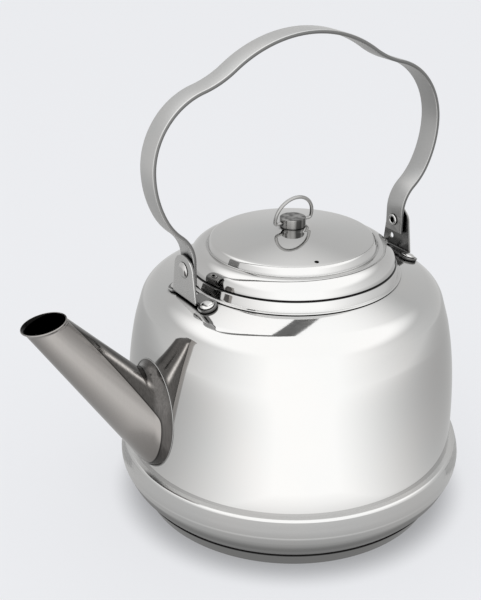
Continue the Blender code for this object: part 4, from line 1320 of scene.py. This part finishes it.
host = placed("foot_rivets", body_shell.data.copy())
foot_rivets = run_tree(host, rivet_tree, **{
    "Front To Rear": 2 * (plate_out - FOOT_RIVET_IN), "Left To Right": 2 * FOOT_RIVET_Y, "Middle": HANDLE_X,
    "Above": PIVOT_Z + DROP_FROM, "Rivet": rivet_blank, "Material": small_steel})
bpy.data.objects.remove(rivet_blank)
dress(foot_rivets, small_steel, "polished_steel", "kettle",
      "front_foot_rivet_left", "front_foot_rivet_right", "rear_foot_rivet_left", "rear_foot_rivet_right")

# %% [markdown]
# Openings in the shell
#
# The wall opens into the spout, and each foot rivet passes through the shoulder. Both are cut
# once their places are known.

# %% Openings
LEDGE = 0.0030             # the wall reaches this far inside the spout's seam
OPENING_STEPS = 96
DRILL_REACH = 0.004

bm = bmesh.new()
bmesh.ops.create_cone(bm, cap_ends=True, segments=OPENING_STEPS, radius1=1, radius2=1,
                      depth=WALL_R / 2)
half_height = (SEAM_TOP_Z - SEAM_BOTTOM_Z) / 2 - LEDGE
bmesh.ops.scale(bm, vec=(half_height, SEAM_HALF_WIDTH - LEDGE, 1), verts=bm.verts)
opening = object_from(bm, "spout_opening")
opening.data.transform(Matrix.Translation((-WALL_R, 0, (SEAM_TOP_Z + SEAM_BOTTOM_Z) / 2))
                       @ Matrix.Rotation(math.pi / 2, 4, "Y"))
tools = [opening]
for side in (-1, 1):
    for hand in (-1, 1):
        spot, normal = on_shoulder(HANDLE_X + side * (plate_out - FOOT_RIVET_IN), hand * FOOT_RIVET_Y, 0)
        tools.append(drill(FOOT_SHANK_R + GAP, spot - normal * DRILL_REACH, spot + normal * DRILL_REACH))
pierce(body_shell, *tools)
dress(body_shell, mirror_steel, "mirror_steel", "kettle", "body_shell")

# %% [markdown]
# Pivots
#
# A tubular rivet carries each end of the strap: a low domed head outside, and an end that is
# rolled back over the strap inside. A washer keeps the strap off the plate.

# %% Pivots and washers
PIVOT_BORE_R = 0.0022
PIVOT_HEAD_R = 0.0053
PIVOT_HEAD = 0.0018
PIVOT_ROLL_R = 0.0039
PIVOT_ROLL = 0.0013
WASHER_ROUND = 0.0001

inner = HALF_SPAN - STRAP_THICK / 2 - GAP
outer = plate_out + GAP / 2
pivot_section = rounded([
    *domed_head(PIVOT_HEAD_R, PIVOT_HEAD, outer, 0.62, 0.2),
    (PIVOT_SHANK_R, outer, 0),
    (PIVOT_SHANK_R, inner, 0),
    (PIVOT_ROLL_R, inner, 0.0003),
    (PIVOT_ROLL_R, inner - PIVOT_ROLL, PIVOT_ROLL * 0.6),
    (PIVOT_BORE_R, inner - PIVOT_ROLL, PIVOT_ROLL * 0.5),
    (PIVOT_BORE_R, outer - BRACKET_THICK, 0),
    (0, outer - BRACKET_THICK, 0),
])
bore = PIVOT_SHANK_R + GAP
washer_section = rounded([
    (bore, washer_at, 0), (WASHER_R, washer_at, WASHER_ROUND),
    (WASHER_R, washer_at + WASHER_THICK, WASHER_ROUND), (bore, washer_at + WASHER_THICK, 0),
])
for name, side in (("front", -1), ("rear", 1)):
    across = Matrix.Translation((HANDLE_X, 0, PIVOT_Z)) @ Matrix.Rotation(side * math.pi / 2, 4, "Y")
    pivot = turned(name + "_pivot_turned", pivot_section, SMALL_STEPS)
    pivot.data.transform(across)
    dress(pivot, small_steel, "polished_steel", "kettle", name + "_pivot_rivet")
    washer = turned(name + "_washer_turned", washer_section, SMALL_STEPS)
    washer.data.transform(across)
    dress(washer, hidden_steel, "plain_steel", "kettle", name + "_pivot_washer")

# %% [markdown]
# Neck collar
#
# A separate ring dresses the neck: a small flange seated on the shoulder, an upright band, a
# rolled top that the lid rests on, and the bore that the lid's skirt drops into.

# %% Neck collar
NECK_BOTTOM_Z = 0.1600
COLLAR_TOP_Z = 0.1738
COLLAR_FLANGE_R = 0.0728
COLLAR_FOOT_R = 0.0714
COLLAR_RIM_R = 0.0702
COLLAR_ROUND = 0.0014

flange = on_shoulder(COLLAR_FLANGE_R, 0, GAP / 2 + SHEET)[0]
foot = on_shoulder(COLLAR_FOOT_R, 0, GAP / 2 + SHEET)[0]
collar_line = rounded([
    (flange.x, flange.z, 0),
    (foot.x, foot.z, COLLAR_ROUND / 2),
    (COLLAR_RIM_R, COLLAR_TOP_Z, COLLAR_ROUND),
    (NECK_R, COLLAR_TOP_Z, COLLAR_ROUND),
    (NECK_R, NECK_BOTTOM_Z, 0),
])
collar = turned("neck_collar_turned", sheet(collar_line))
dress(collar, mirror_steel, "mirror_steel", "kettle", "neck_collar")

# %% [markdown]
# Lid
#
# The lid is one pressing: an upright rim, a full round over its edge, a fine groove, and the
# raised crown with its rounded edge and low dome. The steam hole is punched through the crown.
# Under it sits the skirt that keeps the lid in the neck when the kettle is tipped.

# %% Lid
LID_R = 0.0693
LID_RIM = 0.0008
LID_SHOULDER_R = 0.0676
LID_SHOULDER_Z = 0.1863
LID_ROUND = 0.0098
GROOVE_R = 0.0569
GROOVE_Z = 0.1849
GROOVE_ROUND = 0.0006
CROWN_R = 0.0550
CROWN_Z = 0.1902
CROWN_ROUND = 0.0026
CROWN_RISE = 0.0075
CROWN_POWER = 1.4          # a flat cone near its edge, with a soft top
DOME_FROM = 0.93           # the dome's rows start at this share of the crown's radius
DOME_ROW = 0.03
DOME_ROWS = 25
VENT_DRILL = 0.006
KNOB_SEAT_R = 0.0095
KNOB_RIVET_R = 0.0025
VENT_HOLE_R = 0.0015
VENT_REACH = 0.0490
VENT_AZIMUTH = math.radians(-106.4)


def crown_z(r):
    """Height of the crown's dome at a radius."""
    return CROWN_Z + CROWN_RISE * (1 - (r / CROWN_R) ** CROWN_POWER)


dome_radii = [CROWN_R * (DOME_FROM - DOME_ROW * k) for k in range(DOME_ROWS)]
dome = [(r, crown_z(r), 0) for r in dome_radii]
lid_line = rounded([
    (LID_R, COLLAR_TOP_Z + GAP, 0),
    (LID_R, COLLAR_TOP_Z + GAP + LID_RIM, 0),
    (LID_SHOULDER_R, LID_SHOULDER_Z, LID_ROUND),
    (GROOVE_R, GROOVE_Z, GROOVE_ROUND),
    (CROWN_R, CROWN_Z, CROWN_ROUND),
    *dome,
    (KNOB_SEAT_R, crown_z(0), 0),
    (KNOB_RIVET_R + GAP, crown_z(0), 0),
])
lid = turned("lid_turned", sheet(lid_line))
vent = Vector((VENT_REACH * math.cos(VENT_AZIMUTH), VENT_REACH * math.sin(VENT_AZIMUTH), CROWN_Z))
pierce(lid, drill(VENT_HOLE_R, vent - Vector((0, 0, VENT_DRILL)), vent + Vector((0, 0, VENT_DRILL))))
dress(lid, mirror_steel, "mirror_steel", "lid", "lid_shell")

# %% Lid skirt
SKIRT_CLEARANCE = 0.0011
SKIRT_DEPTH = 0.0215
SKIRT_FLANGE = 0.0018
SKIRT_ROUND = 0.0006

skirt_r = NECK_R - SKIRT_CLEARANCE - SHEET
skirt_top = GROOVE_Z - 2 * SHEET - 2 * GAP
skirt_line = rounded([
    (skirt_r - SKIRT_FLANGE, skirt_top, 0),
    (skirt_r, skirt_top, SKIRT_ROUND),
    (skirt_r, skirt_top - SKIRT_DEPTH, 0),
])
skirt = turned("lid_skirt_turned", sheet(skirt_line))
dress(skirt, hidden_steel, "plain_steel", "lid", "lid_skirt")

# %% [markdown]
# Knob and ring
#
# The knob is a short turned cylinder with a crisp edge. A wire ring swings in two sockets on
# its sides, so it can stand up or lie down on the lid. The wire is swept along its line with
# the same tree as the spout's seam.

# %% Knob
KNOB_R = 0.0087
KNOB_HEIGHT = 0.0061
KNOB_EDGE = 0.0004
KNOB_RIVET_DEPTH = 0.0032
KNOB_RIVET_HEAD_R = 0.0046
KNOB_RIVET_HEAD = 0.0014
KNOB_STEPS = 96
RING_WIRE_R = 0.00120
RING_DEPTH = 0.0023
SOCKET_DRILL = 0.004

bottom = crown_z(0) + GAP / 2
ring_z = crown_z(0) + GAP + KNOB_HEIGHT / 2
knob = turned("lid_knob_turned", rounded([
    (0, crown_z(0) + GAP + KNOB_HEIGHT, 0),
    (KNOB_R, crown_z(0) + GAP + KNOB_HEIGHT, KNOB_EDGE),
    (KNOB_R, bottom, KNOB_EDGE),
    (KNOB_RIVET_R + GAP, bottom, 0),
    (KNOB_RIVET_R + GAP, bottom + KNOB_RIVET_DEPTH + GAP, 0),
    (0, bottom + KNOB_RIVET_DEPTH + GAP, 0),
]), KNOB_STEPS)
pierce(knob, *[drill(RING_WIRE_R + GAP, (side * (KNOB_R - RING_DEPTH - GAP), 0, ring_z),
                     (side * (KNOB_R + SOCKET_DRILL), 0, ring_z)) for side in (-1, 1)])
dress(knob, knob_steel, "polished_steel", "lid", "lid_knob")

under = crown_z(0) - SHEET - GAP
tip = crown_z(0) + KNOB_RIVET_DEPTH
knob_rivet = turned("knob_rivet_turned", rounded([
    (0, tip, 0),
    (KNOB_RIVET_R, tip, 0.0002),
    (KNOB_RIVET_R, under, 0),
    (KNOB_RIVET_HEAD_R, under, 0.0002),
    (KNOB_RIVET_HEAD_R, under - KNOB_RIVET_HEAD, KNOB_RIVET_HEAD * 0.7),
    (0, under - KNOB_RIVET_HEAD, 0),
]), SMALL_STEPS)
dress(knob_rivet, hidden_steel, "plain_steel", "lid", "knob_rivet")

# %% Knob ring
RING_R = 0.0145
RING_RISE = 0.0035
RING_FOOT_X = 0.0141
RING_BEND = 0.0017
RING_LEAN = math.radians(12)
RING_STEPS = 60

lift = math.asin(RING_RISE / RING_R)
bow = []
for k in range(RING_STEPS + 1):
    angle = -lift / 3 + (math.pi + 2 * lift / 3) * k / RING_STEPS
    bow.append((RING_R * math.cos(angle), RING_RISE + RING_R * math.sin(angle), 0))
end = KNOB_R - RING_DEPTH
ring_line = rounded([(end, 0, 0), (RING_FOOT_X, 0, RING_BEND), *bow,
                     (-RING_FOOT_X, 0, RING_BEND), (-end, 0, 0)])
lean = Matrix.Translation((0, 0, ring_z)) @ Matrix.Rotation(RING_LEAN, 4, "X")
ring_path = path("knob_ring_swept", [lean @ Vector((point.x, 0, point.y)) for point in ring_line])
ring = run_tree(ring_path, wire_tree, **{"Wire Radius": RING_WIRE_R, "Material": ring_steel})
dress(ring, ring_steel, "polished_steel", "ring", "knob_ring")

# %% [markdown]
# A lamp for the floor
#
# The world already lights the steel. One large, weak lamp above the camera's left gives the
# floor a soft shadow. It doesn't show in the steel, because the tent already holds the soft box.

# %% Lamp
LAMP_SIZE = (1.2, 1.0)
LAMP_WATTS = 5.0
LAMP_PLACE = Vector((-0.9, -0.9, 1.5))
LAMP_AIM = Vector((0, 0, 0.1))

lamp_data = bpy.data.lights.new("soft_box", "AREA")
lamp_data.shape = "RECTANGLE"
lamp_data.size, lamp_data.size_y = LAMP_SIZE
lamp_data.energy = LAMP_WATTS
lamp = placed("soft_box", lamp_data)
lamp.location = LAMP_PLACE
lamp.rotation_euler = (LAMP_AIM - LAMP_PLACE).to_track_quat("-Z", "Y").to_euler()
lamp.visible_glossy = False
print("lamp in watts:", LAMP_WATTS)
